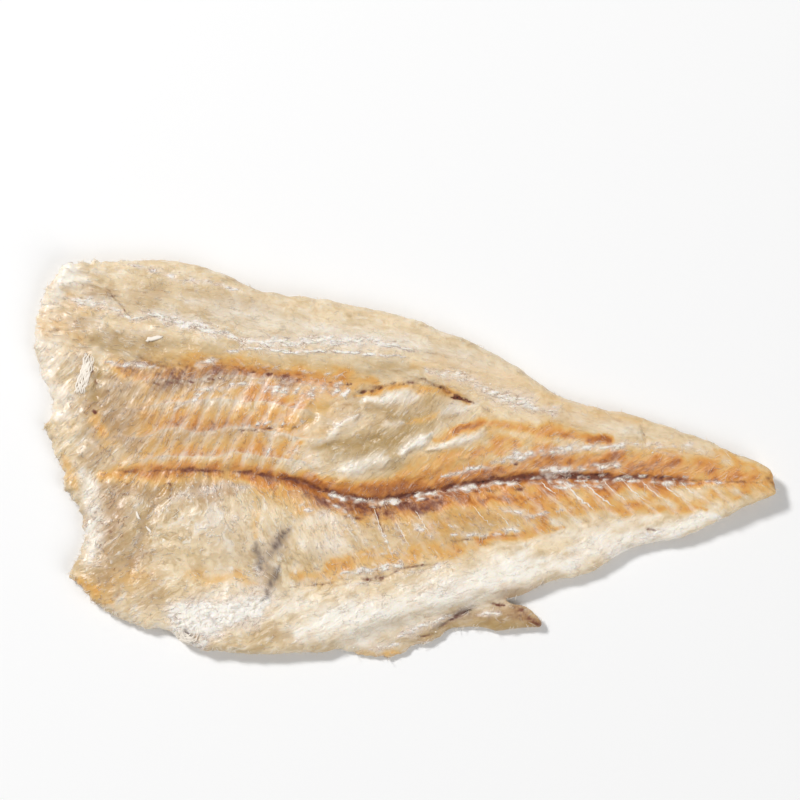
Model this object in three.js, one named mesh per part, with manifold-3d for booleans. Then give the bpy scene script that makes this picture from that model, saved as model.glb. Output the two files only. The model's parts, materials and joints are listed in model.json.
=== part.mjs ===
// A side of cod, split open, dried and roasted flat: one piece of flesh that lies skin side down.
// The shoulder end is at -X, the tail at +X, and the cut face with its spine groove looks up.
// Millimetres, +Z up, origin at the middle of the footprint on the surface it lies on.
import * as THREE from "three";
import { ImprovedNoise } from "three/addons/math/ImprovedNoise.js";
import Module from "manifold-3d";

// Driving dimensions: how the lines of the cut face run from shoulder to tail, as [x, y] points.
// From the back edge to the belly edge they part the fillet into five long bundles of muscle.
const BACK_EDGE = [
  [-116, 64], [-99, 66], [-79, 66], [-64, 62.5], [-49, 56], [-25, 52.5],
  [5, 45], [32, 33.5], [52, 20.5], [76, 13.5], [100, 5.5], [123, -5],
];
const ROLL_SEAM = [
  [-120, 53], [-104, 52], [-91, 46], [-66, 42], [-42, 38.5], [-2, 35],
  [15, 29], [32, 21], [47, 12], [66, 7], [83, 3.8], [123, -6.2],
];
const FLANK_SEAM = [
  [-123, 38], [-106, 34], [-86, 31], [-62, 30], [-15, 24.5], [5, 25],
  [20, 19], [39, 11], [52, 9], [66, 5.2], [83, 2], [123, -7.4],
];
const SPINE = [
  [-115, -4.5], [-96, -5.5], [-69, -4.5], [-52, -5.5], [-35, -9], [-20, -14],
  [-8, -15], [5, -13], [22, -10], [42, -8], [93, -8], [124, -9.2],
];
const BELLY_SEAM = [
  [-112, -30], [-76, -39], [-49, -45], [-25, -42.5], [-2, -39], [15, -34],
  [39, -28], [56, -23.5], [73, -19.5], [100, -18.5], [125, -11.5],
];
const BELLY_EDGE = [
  [-112, -41.5], [-104, -49], [-87, -58.5], [-80, -58], [-75, -62.5], [-65, -65.5], [-45, -66.5],
  [-20, -64.5], [-2, -57.5], [29, -49], [39, -47], [52, -41.5], [63, -39.5], [70, -34.5], [100, -25],
  [113, -18.5], [125, -13.5],
];
// The torn shoulder end, as [y, x] points from the belly corner to the back corner, about a mean line.
const SHOULDER_X = -116;
const SHOULDER_END = [
  [-41.5, -112.5], [-31, -109], [-24, -107.5], [-18, -109], [-12, -114], [-2, -117], [5, -120],
  [11, -122], [15, -117], [19, -118.5], [27, -122.5], [38, -125], [50, -123], [58, -120], [64, -116],
];
// The blunt tail stump: how far the back corner and the belly corner reach.
const TAIL_BACK_X = 123;
const TAIL_BELLY_X = 125;

// Driving dimensions: heights above the underside along the fillet, as [x, height] points.
const BACK_RIM_HEIGHT = [[-125, 6], [-60, 7], [40, 6.5], [100, 4.2], [125, 2.6]];
const ROLL_CREST = [[-125, 8], [-70, 9.4], [0, 9], [50, 8.2], [90, 5.8], [125, 3]];
const ROLL_SEAM_HEIGHT = [[-125, 6], [-60, 6.8], [20, 6.2], [60, 5], [125, 2.8]];
const FLANK_CREST = [[-125, 7], [-60, 7.6], [20, 6.8], [60, 5], [125, 2.8]];
const FLANK_SEAM_HEIGHT = [[-125, 5.6], [-60, 5.4], [-5, 4.8], [20, 4.2], [60, 4.4], [125, 2.8]];
const UPPER_PAD_CREST = [[-125, 6.6], [-70, 6.8], [-25, 8.6], [10, 8.2], [45, 6.4], [90, 5], [125, 3]];
const SPINE_HEIGHT = [[-125, 5], [-80, 4.4], [-40, 3.2], [0, 2.6], [60, 2.6], [100, 2.4], [125, 2.2]];
const LOWER_PAD_CREST = [[-125, 6.2], [-70, 6.6], [-10, 6.4], [45, 5.8], [90, 4.8], [125, 3]];
const BELLY_SEAM_HEIGHT = [[-125, 5.6], [-60, 5.2], [0, 4.8], [50, 4.4], [100, 3.8], [125, 2.8]];
const BELLY_CREST = [[-125, 6.2], [-60, 7], [0, 7.6], [50, 6.6], [90, 5], [125, 3]];
const BELLY_RIM_HEIGHT = [[-125, 5], [-40, 5.6], [30, 5.6], [90, 4], [125, 2.6]];
// Where the two faces meet round the rim, as a share of the local height.
const RIM_SHARE = 0.42;
const RIM_RADIUS = 5;
const END_RADIUS = 6;

// How the fillet lifts off the surface it lies on: the tail, both shoulder corners and the edges.
const TAIL_LIFT = 5.5;
const TAIL_LIFT_FROM_X = 66;
const CORNER_LIFT = 3.2;
const CORNER_LIFT_FROM_X = -88;
const EDGE_LIFT = 1.6;
const EDGE_LIFT_WAVE = 78;
const EDGE_LIFT_REACH = 16;

// Relief of the flesh: flakes that lean towards the tail, lumps, and crags at the torn end.
const UPPER_FLAKE_HEIGHT = [[-125, 0.4], [-95, 0.8], [-50, 0.8], [-20, 0.35], [45, 0.8], [125, 0.2]];
const LOWER_FLAKE_HEIGHT = [[-125, 0.1], [-60, 0.25], [-10, 0.55], [40, 0.85], [100, 0.6], [125, 0.2]];
const UPPER_FLAKE_LEAN = [[-125, 0.25], [-40, 0.45], [20, 1.2], [125, 1.5]];
const LOWER_FLAKE_LEAN = [[-125, 0.3], [-20, 0.7], [125, 1.1]];
const LEAN_FADE = 46;
const ARCH_FULL_WIDTH = 9;
const LUMP_SIZE = 13;
const LUMP_HEIGHT = 0.7;
const CRAG_SIZE = 5.5;
const CRAG_HEIGHT = 0.9;
const CRAG_FROM_X = -84;
const RAGGED_SIZE = 5;
const RAGGED_DEPTH = 0.9;
const RAGGED_REACH = 34;
const UNDERSIDE_WAVE = 17;
const UNDERSIDE_RELIEF = 0.7;
// The flat patch of the underside that it rests on.
const REST_X = -20;
const REST_Y = -6;
const REST_HALF_LENGTH = 48;
const REST_HALF_WIDTH = 20;
const REST_BLEND = 1.6;

// A strip of belly flesh torn loose along the edge, held at its shoulder end, as [x, y] points.
const FLAP_INNER = [[-24, -60], [-2, -53], [15, -49], [29, -46.5], [36, -50], [42, -51.5], [46, -56]];
const FLAP_OUTER = [
  [-24, -64.5], [-13, -67], [-2, -66.8], [3, -63.6], [10.5, -62.5], [13, -59], [18, -57.7],
  [26, -57.8], [31, -59], [39, -58], [46, -57.8],
];
const FLAP_FROM_X = -24;
const FLAP_TO_X = 46;
const FLAP_HEIGHT = 3.4;
const FLAP_TIP_LIFT = 1.6;
const FLAP_TIP_FROM_X = 26;
const FLAP_RIM_RADIUS = 1.8;

// How finely the faces are divided.
const COLUMNS = 94;
const COLUMNS_PER_FLAKE = 3;
const END_STATIONS = [0, 0.7, 2, 4.2];
const BUNDLE_ROWS = [9, 6, 9, 8, 9];
const RIM_STATIONS = [0, 0.05, 0.13, 0.24];
const RIM_ROW = 2;
const UNDERSIDE_ROWS = 9;
const FINE_UNDERSIDE_COLUMNS = 9;
const FLAP_COLUMNS = 34;
const FLAP_ROWS = 6;
const FLAP_UNDERSIDE_ROWS = 2;

const FLESH_COLOR = 0xdcc69a;
const FLESH_ROUGHNESS = 0.62;

// Layers of the noise field that each kind of unevenness is taken from.
const noise = new ImprovedNoise();
const LUMP_LAYER = 0.5;
const RAGGED_LAYER = 3.5;
const CRAG_LAYER = 7.5;
const UNDERSIDE_LAYER = 9.5;
const FLAP_LAYER = 11.5;

const { clamp, lerp, smoothstep } = THREE.MathUtils;

// A smooth line through [position, value] points, level beyond its ends.
function lineThrough(points) {
  const positions = points.map(([position]) => position);
  const values = points.map(([, value]) => value);
  const line = new THREE.CubicInterpolant(positions, values, 1, new Float64Array(1));
  return (position) => line.evaluate(position)[0];
}

const edgeLines = [BACK_EDGE, ROLL_SEAM, FLANK_SEAM, SPINE, BELLY_SEAM, BELLY_EDGE].map(lineThrough);
const [backEdge, , flankSeam, spine, bellySeam, bellyEdge] = edgeLines;
const UPPER_PAD = 2;
const LOWER_PAD = 3;
const LAST_BUNDLE = BUNDLE_ROWS.length - 1;
const shoulderEnd = lineThrough(SHOULDER_END);
const seamHeights = [
  BACK_RIM_HEIGHT, ROLL_SEAM_HEIGHT, FLANK_SEAM_HEIGHT, SPINE_HEIGHT, BELLY_SEAM_HEIGHT, BELLY_RIM_HEIGHT,
].map(lineThrough);
const crestHeights = [
  ROLL_CREST, FLANK_CREST, UPPER_PAD_CREST, LOWER_PAD_CREST, BELLY_CREST,
].map(lineThrough);
const upperFlakes = { lean: lineThrough(UPPER_FLAKE_LEAN), height: lineThrough(UPPER_FLAKE_HEIGHT) };
const lowerFlakes = { lean: lineThrough(LOWER_FLAKE_LEAN), height: lineThrough(LOWER_FLAKE_HEIGHT) };
const flapInner = lineThrough(FLAP_INNER);
const flapOuter = lineThrough(FLAP_OUTER);

// A quarter round: 0 at the rim, 1 once the radius is passed.
function rimRise(distance, radius) {
  const inward = clamp(distance / radius, 0, 1);
  return Math.sqrt(1 - (1 - inward) ** 2);
}

// How far a point of the fillet stands off the surface below it.
function liftAt(x, y) {
  const tail = TAIL_LIFT * smoothstep(x, TAIL_LIFT_FROM_X, TAIL_BELLY_X) ** 2;
  const shoulder = smoothstep(-x, -CORNER_LIFT_FROM_X, -SHOULDER_X);
  const toBack = clamp(1 - (backEdge(x) - y) / EDGE_LIFT_REACH, 0, 1);
  const toBelly = clamp(1 - (y - bellyEdge(x)) / EDGE_LIFT_REACH, 0, 1);
  const nearEdge = Math.max(toBack, toBelly) ** 2;
  const corners = CORNER_LIFT * shoulder * nearEdge;
  const edges = EDGE_LIFT * nearEdge * (0.5 + 0.5 * Math.sin((2 * Math.PI * x) / EDGE_LIFT_WAVE));
  return tail + corners + edges;
}

// The step of one flake over the next: a slow rise over its columns, then a sheer drop.
function flakeStep(column) {
  return (column % COLUMNS_PER_FLAKE) / (COLUMNS_PER_FLAKE - 1) - 0.5;
}

// How far a column of flakes leans towards the tail, at a distance from the shoulder along a row.
function leanAt(bundle, x, y, fromShoulder, fromTail) {
  const flakes = bundle <= UPPER_PAD ? upperFlakes : lowerFlakes;
  const padEdge = bundle <= UPPER_PAD ? flankSeam(x) - spine(x) : spine(x) - bellySeam(x);
  const offSpine = Math.min(Math.abs(y - spine(x)), padEdge);
  const ends = smoothstep(fromShoulder, 0, LEAN_FADE) * smoothstep(fromTail, 0, LEAN_FADE);
  return flakes.lean(x) * offSpine * ends;
}

// Height of the cut face above the underside, on bundle number bundle, share of the way across it.
function faceHeight(bundle, share, column, x, y) {
  const upperSeam = seamHeights[bundle](x);
  const lowerSeam = seamHeights[bundle + 1](x);
  const width = edgeLines[bundle](x) - edgeLines[bundle + 1](x);
  const arch = Math.sin(Math.PI * share) ** 0.8 * clamp(width / ARCH_FULL_WIDTH, 0, 1);
  const bundled = lerp(upperSeam, lowerSeam, share);
  const crown = (crestHeights[bundle](x) - (upperSeam + lowerSeam) / 2) * arch;
  const flakes = bundle === UPPER_PAD ? upperFlakes : lowerFlakes;
  const isPad = bundle === UPPER_PAD || bundle === LOWER_PAD;
  const flaked = isPad ? flakes.height(x) * arch * flakeStep(column) : 0;
  const lumps = LUMP_HEIGHT * noise.noise(x / LUMP_SIZE, y / LUMP_SIZE, LUMP_LAYER);
  const torn = smoothstep(-x, -CRAG_FROM_X, -shoulderEnd(y));
  const crags = CRAG_HEIGHT * torn * noise.noise(x / CRAG_SIZE, y / CRAG_SIZE, CRAG_LAYER);
  return bundled + crown + flaked + lumps + crags;
}

// Height that the underside's own waves lift it by, none on the patch that it rests on.
function undersideWave(x, y) {
  const fromRest = Math.hypot((x - REST_X) / REST_HALF_LENGTH, (y - REST_Y) / REST_HALF_WIDTH);
  const wave = Math.max(0, noise.noise(x / UNDERSIDE_WAVE, y / UNDERSIDE_WAVE, UNDERSIDE_LAYER));
  return UNDERSIDE_RELIEF * wave * smoothstep(fromRest, 1, REST_BLEND);
}

// Share of the way to the full height at a place on the fillet, 0 all round its rim.
function riseAt(x, y, fromShoulder, fromTail) {
  const sides = rimRise(Math.min(backEdge(x) - y, y - bellyEdge(x)), RIM_RADIUS);
  const ends = Math.min(rimRise(fromShoulder, END_RADIUS), rimRise(fromTail, END_RADIUS));
  return sides * ends;
}

// Share of the way across a rim bundle at each row in from its rim, closest at the rim itself.
function rimShare(row, count) {
  const lastStation = RIM_STATIONS.length - 1;
  if (row <= lastStation) {
    return RIM_STATIONS[row];
  }
  return lerp(RIM_STATIONS[lastStation], 1, (row - lastStation) / (count - lastStation));
}

// Rows from the back edge to the belly edge, each as its bundle and its share across that bundle.
function bundleRows() {
  const rows = [];
  BUNDLE_ROWS.forEach((count, bundle) => {
    for (let row = 0; row < count; row += 1) {
      const fromBack = bundle === 0 ? rimShare(row, count) : row / count;
      const share = bundle === LAST_BUNDLE ? 1 - rimShare(count - row, count) : fromBack;
      rows.push({ bundle, share });
    }
  });
  rows.push({ bundle: LAST_BUNDLE, share: 1 });
  return rows;
}

// Distances along one row of the given length, closer together at both ends.
function columnStations(length, columns) {
  const endCount = END_STATIONS.length - 1;
  const reach = END_STATIONS[endCount];
  const stations = [];
  for (let column = 0; column <= columns; column += 1) {
    const fromEnd = columns - column;
    const even = lerp(reach, length - reach, (column - endCount) / (columns - 2 * endCount));
    if (column < endCount) {
      stations.push(END_STATIONS[column]);
    } else if (fromEnd < endCount) {
      stations.push(length - END_STATIONS[fromEnd]);
    } else {
      stations.push(even);
    }
  }
  return stations;
}

// Share of the rim's raggedness that a row takes: all of it on the two edges, none on the pads.
function rimNearness(bundle, share) {
  if (bundle === 0) {
    return (1 - share) ** 2;
  }
  return bundle === LAST_BUNDLE ? share ** 2 : 0;
}

// Points on the cut face along one row, and the underside points straight below them.
function filletRow({ bundle, share }, across) {
  const rowY = (x) => lerp(edgeLines[bundle](x), edgeLines[bundle + 1](x), share);
  const startY = rowY(SHOULDER_X);
  const startX = shoulderEnd(startY) + RAGGED_DEPTH * noise.noise(startY / RAGGED_SIZE, 0, RAGGED_LAYER);
  const endX = lerp(TAIL_BACK_X, TAIL_BELLY_X, across);
  return columnStations(endX - SHOULDER_X, COLUMNS).map((station, column) => {
    const torn = (startX - SHOULDER_X) * (1 - smoothstep(station, 0, RAGGED_REACH));
    const upright = SHOULDER_X + station + torn;
    const x = upright + leanAt(bundle, upright, rowY(upright), station, endX - upright);
    const y = rowY(x);
    const rise = riseAt(x, y, x - startX, endX - x);
    const height = faceHeight(bundle, share, column, x, y);
    const rim = RIM_SHARE * height;
    const ragged = noise.noise(x / RAGGED_SIZE, bundle, RAGGED_LAYER);
    const frayed = RAGGED_DEPTH * rimNearness(bundle, share) * ragged;
    const floor = liftAt(x, y) + undersideWave(x, y);
    return {
      top: new THREE.Vector3(x, y + frayed, floor + lerp(rim, height, rise)),
      under: new THREE.Vector3(x, y + frayed, floor + rim * (1 - rise)),
    };
  });
}

// Points of the torn strip along one row, worked out like the rows of the fillet.
function flapRow(share) {
  return columnStations(FLAP_TO_X - FLAP_FROM_X, FLAP_COLUMNS).map((station) => {
    const x = FLAP_FROM_X + station;
    const y = lerp(flapInner(x), flapOuter(x), share);
    const width = flapInner(x) - flapOuter(x);
    const ends = Math.min(rimRise(station, FLAP_RIM_RADIUS), rimRise(FLAP_TO_X - x, FLAP_RIM_RADIUS));
    const rise = ends * rimRise(width * Math.min(share, 1 - share), FLAP_RIM_RADIUS);
    const height = FLAP_HEIGHT + LUMP_HEIGHT * noise.noise(x / CRAG_SIZE, y / CRAG_SIZE, FLAP_LAYER);
    const rim = RIM_SHARE * height;
    const floor = FLAP_TIP_LIFT * smoothstep(x, FLAP_TIP_FROM_X, FLAP_TO_X);
    return {
      top: new THREE.Vector3(x, y, floor + lerp(rim, height, rise)),
      under: new THREE.Vector3(x, y, floor + rim * (1 - rise)),
    };
  });
}

// Triangles between two chains of vertices that need not have the same count.
function zipChains(left, right, facingUp) {
  const triangles = [];
  let a = 0;
  let b = 0;
  while (a < left.length - 1 || b < right.length - 1) {
    const nextLeft = (a + 1) / (left.length - 1);
    const nextRight = (b + 1) / (right.length - 1);
    const stepLeft = b === right.length - 1 || (a < left.length - 1 && nextLeft <= nextRight);
    const corner = stepLeft ? left[a + 1] : right[b + 1];
    const triangle = [left[a], corner, right[b]];
    triangles.push(...(facingUp ? triangle : triangle.reverse()));
    if (stepLeft) {
      a += 1;
    } else {
      b += 1;
    }
  }
  return triangles;
}

// A closed skin over rows of points: a fine upper face and a coarser underside that share their rim.
function closedSkin(rows, undersideRows) {
  const positions = [];
  const indices = [];
  const addPoint = (point) => positions.push(point.x, point.y, point.z) / 3 - 1;
  const lastRow = rows.length - 1;
  const lastColumn = rows[0].length - 1;
  const upper = rows[0].map((_, column) => rows.map((row) => addPoint(row[column].top)));
  const lower = upper.map((chain, column) => {
    if (column === 0 || column === lastColumn) {
      return chain;
    }
    const fine = column <= FINE_UNDERSIDE_COLUMNS;
    const steps = fine ? lastRow - 2 : undersideRows - 1;
    const first = fine ? 1 : RIM_ROW;
    const inner = [];
    for (let step = 0; step <= steps; step += 1) {
      const row = Math.round(lerp(first, lastRow - first, step / steps));
      inner.push(addPoint(rows[row][column].under));
    }
    return [chain[0], ...inner, chain[lastRow]];
  });
  for (let column = 0; column < lastColumn; column += 1) {
    indices.push(...zipChains(upper[column], upper[column + 1], true));
    indices.push(...zipChains(lower[column], lower[column + 1], false));
  }
  return { vertProperties: new Float32Array(positions), triVerts: new Uint32Array(indices) };
}

const wasm = await Module();
wasm.setup();

function solidOf(skin) {
  return new wasm.Manifold(new wasm.Mesh({ numProp: 3, ...skin }));
}

// The fillet and its torn strip grown together as one body, set on its footprint's middle.
function filletGeometry() {
  const rows = bundleRows();
  const filletRows = rows.map((row, index) => filletRow(row, index / (rows.length - 1)));
  const body = closedSkin(filletRows, UNDERSIDE_ROWS);
  const flapRows = [];
  for (let row = 0; row <= FLAP_ROWS; row += 1) {
    flapRows.push(flapRow(row / FLAP_ROWS));
  }
  const flap = closedSkin(flapRows, FLAP_UNDERSIDE_ROWS);
  const joined = solidOf(body).add(solidOf(flap)).getMesh();
  const geometry = new THREE.BufferGeometry();
  geometry.setAttribute("position", new THREE.BufferAttribute(joined.vertProperties, joined.numProp));
  geometry.setIndex(new THREE.BufferAttribute(joined.triVerts, 1));
  geometry.computeBoundingBox();
  const middle = geometry.boundingBox.getCenter(new THREE.Vector3());
  geometry.translate(-middle.x, -middle.y, -geometry.boundingBox.min.z);
  geometry.computeVertexNormals();
  return geometry;
}

const flesh = new THREE.MeshStandardMaterial({
  color: FLESH_COLOR,
  roughness: FLESH_ROUGHNESS,
  metalness: 0,
});
const fillet = new THREE.Mesh(filletGeometry(), flesh);
fillet.name = "fillet";

const roastedCod = new THREE.Group();
roastedCod.add(fillet);

export default roastedCod;
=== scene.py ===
"""Looks of a roasted cod fillet: its flaked and browned flesh, torn fibres, crumbs and the studio."""

import json
import logging
import math
from dataclasses import dataclass
from enum import Enum

import bmesh
import bpy
import numpy as np
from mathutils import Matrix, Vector
from mathutils.bvhtree import BVHTree
from mathutils.geometry import delaunay_2d_cdt
from mathutils.kdtree import KDTree

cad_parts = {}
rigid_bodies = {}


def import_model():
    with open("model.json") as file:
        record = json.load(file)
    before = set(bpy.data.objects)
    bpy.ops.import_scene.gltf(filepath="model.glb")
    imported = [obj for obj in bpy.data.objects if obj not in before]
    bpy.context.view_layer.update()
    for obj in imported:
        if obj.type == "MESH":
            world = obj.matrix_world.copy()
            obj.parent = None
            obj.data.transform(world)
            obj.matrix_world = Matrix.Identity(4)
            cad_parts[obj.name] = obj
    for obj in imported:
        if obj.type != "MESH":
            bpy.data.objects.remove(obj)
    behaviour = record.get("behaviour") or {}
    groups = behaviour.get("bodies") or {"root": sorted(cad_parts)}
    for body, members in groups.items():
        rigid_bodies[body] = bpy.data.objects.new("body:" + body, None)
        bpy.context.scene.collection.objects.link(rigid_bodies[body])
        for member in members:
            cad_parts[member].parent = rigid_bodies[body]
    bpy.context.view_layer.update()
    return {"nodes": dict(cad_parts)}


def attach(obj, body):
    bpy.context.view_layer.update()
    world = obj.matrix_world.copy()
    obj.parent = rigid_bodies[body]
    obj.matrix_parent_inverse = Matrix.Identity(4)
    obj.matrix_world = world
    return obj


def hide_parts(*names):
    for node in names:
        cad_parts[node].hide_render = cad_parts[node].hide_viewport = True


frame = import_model()

Array = np.ndarray
Point = tuple[float, float]
Bump = tuple[float, float, float]
Colour = tuple[float, float, float, float]
Socket = bpy.types.NodeSocket
Material = bpy.types.Material
Mesh = bpy.types.Mesh
Piece = bpy.types.Object

MM = 0.001
TINY = 1e-12
NODE = "fillet"
BODY = "root"
UV_NAME = "OFBake"
GRAINS = ("pad_grain", "roll_grain", "belly_grain")

log = logging.getLogger("roasted_cod")


# Numbers and noise

def smooth_step(low: float, high: float, value: Array) -> Array:
    """Return 0 below low, 1 above high and a smooth rise between them."""
    share = np.clip((value - low) / (high - low), 0.0, 1.0)
    return share * share * (3.0 - 2.0 * share)


def paint(red: int, green: int, blue: int) -> Colour:
    """Return the linear colour of screen values from 0 to 255.

    Args:
        red: Red.
        green: Green.
        blue: Blue.

    Returns:
        Red, green, blue and opacity.
    """
    linear = []
    for value in (red, green, blue):
        share = value / 255.0
        linear.append(share / 12.92 if share <= 0.04045 else ((share + 0.055) / 1.055) ** 2.4)
    return (linear[0], linear[1], linear[2], 1.0)


class Noise:
    """Smooth seeded noise, about -1 to 1, one bump to a unit of its points."""

    SLOPES = 256
    LEVEL = 0.37
    GAIN = 1.7

    def __init__(self, seed: int) -> None:
        """Draw the slopes of the noise.

        Args:
            seed: Number that fixes the pattern.
        """
        rng = np.random.default_rng(seed)
        self.order = rng.permutation(self.SLOPES)
        slopes = rng.normal(size=(self.SLOPES, 3))
        self.slopes = slopes / np.linalg.norm(slopes, axis=1, keepdims=True)

    def __call__(self, *axes: Array) -> Array:
        """Return the noise at points given as two or three coordinate lists.

        Args:
            *axes: Coordinates, already divided by the size of a bump.

        Returns:
            One value a point.
        """
        columns = list(axes) + [np.full_like(axes[0], self.LEVEL)] * (3 - len(axes))
        points = np.stack(columns, axis=1)
        cell = np.floor(points).astype(int)
        local = points - cell
        blend = local ** 3 * (local * (local * 6.0 - 15.0) + 10.0)
        last = self.SLOPES - 1
        total = np.zeros(len(points))
        for corner in np.ndindex(2, 2, 2):
            index = (cell + corner) & last
            pick = self.order[(self.order[index[:, 0]] + index[:, 1]) & last]
            pick = self.order[(pick + index[:, 2]) & last]
            weight = np.prod(np.where(corner, blend, 1.0 - blend), axis=1)
            total += weight * np.einsum("ij,ij->i", self.slopes[pick], local - corner)
        return total * self.GAIN


def bumps(noise: Noise, x: Array, y: Array, layers: tuple[Bump, ...]) -> Array:
    """Return layers of noise added up, each with the height, length and width of its bumps."""
    return sum(height * noise(x / length, y / width) for height, length, width in layers)


class Line:
    """A smooth line y over x through a few points, in millimetres, level beyond its ends."""

    def __init__(self, *points: Point) -> None:
        """Keep the points, which come in rising x, and the slope at each."""
        self.x, self.y = np.array(points, dtype=float).T
        self.slope = np.gradient(self.y, self.x)

    def __call__(self, x: Array) -> Array:
        """Return y at each x.

        Args:
            x: Where to read the line.

        Returns:
            One y for each x.
        """
        x = np.clip(x, self.x[0], self.x[-1])
        left = np.clip(np.searchsorted(self.x, x) - 1, 0, len(self.x) - 2)
        span = self.x[left + 1] - self.x[left]
        share = (x - self.x[left]) / span
        rest = 1.0 - share
        start = self.y[left] * (1.0 + 2.0 * share) + self.slope[left] * span * share
        end = self.y[left + 1] * (1.0 + 2.0 * rest) - self.slope[left + 1] * span * rest
        return start * rest * rest + end * share * share


def travel_along(corners: Array) -> Array:
    """Return how far along a path of straight runs each of its corners lies."""
    return np.concatenate([[0.0], np.cumsum(np.linalg.norm(np.diff(corners, axis=0), axis=1))])


def points_along(corners: Array, travel: Array, stops: Array) -> Array:
    """Return x and y, one a row, of the points of a path at stops measured along it."""
    return np.stack([np.interp(stops, travel, axis) for axis in corners.T])


def distance_to_path(path: tuple[Point, ...], points: Array) -> tuple[Array, Array]:
    """Measure points against a path of straight runs.

    Args:
        path: Corners of the path in millimetres.
        points: Points, one a row.

    Returns:
        Distance of each point, and its share of the way along the path.
    """
    corners = np.array(path, dtype=float)
    lengths = np.linalg.norm(np.diff(corners, axis=0), axis=1)
    starts = travel_along(corners)
    nearest = np.full(len(points), np.inf)
    share = np.zeros(len(points))
    for index, length in enumerate(lengths):
        run = (corners[index + 1] - corners[index]) / length
        offset = points - corners[index]
        reach = np.clip(offset @ run, 0.0, length)
        gap = np.linalg.norm(offset - reach[:, None] * run, axis=1)
        closer = gap < nearest
        nearest = np.where(closer, gap, nearest)
        share = np.where(closer, (starts[index] + reach) / starts[-1], share)
    return nearest, share


# How the fillet is laid out, seen from above, in millimetres

BACK_SEAM = Line(
    (-120, 53), (-104, 52), (-91, 46), (-66, 42), (-42, 38.5), (-2, 35), (15, 29), (32, 21),
    (47, 12), (66, 7), (83, 3.8), (123, -6.2),
)
FLANK_SEAM = Line(
    (-123, 38), (-106, 34), (-86, 31), (-62, 30), (-15, 24.5), (5, 25), (20, 19), (39, 11),
    (52, 9), (66, 5.2), (83, 2), (123, -7.4),
)
SPINE = Line(
    (-115, -4.5), (-96, -5.5), (-69, -4.5), (-52, -5.5), (-35, -9), (-20, -14), (-8, -15),
    (5, -13), (22, -10), (42, -8), (93, -8), (124, -9.2),
)
BELLY_SEAM = Line(
    (-112, -30), (-76, -39), (-49, -45), (-25, -42.5), (-2, -39), (15, -34), (39, -28),
    (56, -23.5), (73, -19.5), (100, -18.5), (125, -11.5),
)
UPPER_LEAN = Line((-125, 1.0), (-90, 0.8), (-60, 0.5), (-40, 0.5), (-20, 0.9), (20, 1.1), (125, 1.5))
LOWER_LEAN = Line((-125, -0.9), (-85, -0.7), (-60, 0.2), (-20, 0.6), (40, 0.9), (125, 1.2))
UPPER_FLAKE = Line(
    (-125, 0.05), (-95, 0.12), (-80, 0.28), (-40, 0.32), (-24, 0.08), (40, 0.1), (125, 0.03),
)
LOWER_FLAKE = Line(
    (-125, 0.02), (-30, 0.04), (0, 0.14), (40, 0.2), (58, 0.5), (105, 0.45), (125, 0.05),
)
ROLL_FIBRE = Line((-125, 0.6), (-95, 0.35), (-50, 0.2), (0, 0.12), (125, 0.12))
UPPER_FIBRE = Line((-125, 0.8), (-90, 0.5), (-40, 0.35), (0, 0.35), (60, 0.3), (125, 0.15))
LOWER_FIBRE = Line((-125, 0.75), (-60, 0.7), (-30, 0.6), (0, 0.5), (40, 0.4), (70, 0.2), (125, 0.15))
BELLY_FIBRE = Line((-125, 0.7), (-60, 0.55), (-20, 0.3), (20, 0.25), (60, 0.2), (125, 0.25))
SPINE_CUT = Line((-125, 0.1), (-60, 0.25), (-35, 0.7), (0, 0.9), (60, 0.8), (85, 0.4), (125, 0.15))
UPPER_PITCH = 5.6
LOWER_PITCH = 7.2
ROW_PITCH = 9.0
ROW_LEAN = -0.06
ROLL_FIBRE_TURN = math.radians(-14)
BELLY_FIBRE_TURN = math.radians(24)
SEAM_BLEND = 1.6
SPINE_BLEND = 0.6
SWAY_SEED = 11
SWAYS = ((1.3, 9.0, 9.0), (0.6, 3.0, 3.0))
SPINE_SWAY = 0.6
FLAKE_SWAY = 1.3
FLAKE_BUMP = (6.0, 9.0)
ROW_SWAY = 1.6
ROW_BUMP = (11.0, 7.0)
ROW_SHIFT = 5.0


@dataclass
class Places:
    """Where points lie in the fillet: their muscle, the run of its fibres and its flakes."""

    x: Array
    y: Array
    rim: Array
    top: Array
    roll: Array
    upper: Array
    lower: Array
    belly: Array
    spine_gap: Array
    seam_gap: Array
    grains: tuple[Array, Array, Array]
    flake: Array
    row: Array
    lie: Array

    def blend(self, pad: Array, roll: Array, belly: Array) -> Array:
        """Return values of the three kinds of muscle, blended across their seams."""
        return pad * (1.0 - self.roll - self.belly) + roll * self.roll + belly * self.belly

    def fibre_noise(self, noise: Noise, across: float, length: float, shift: float = 0.0) -> Array:
        """Return noise with bumps so wide across the fibres and so long along them."""
        found = [noise(grain[0] / across + shift, grain[1] / length) for grain in self.grains]
        return self.blend(*found)


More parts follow.
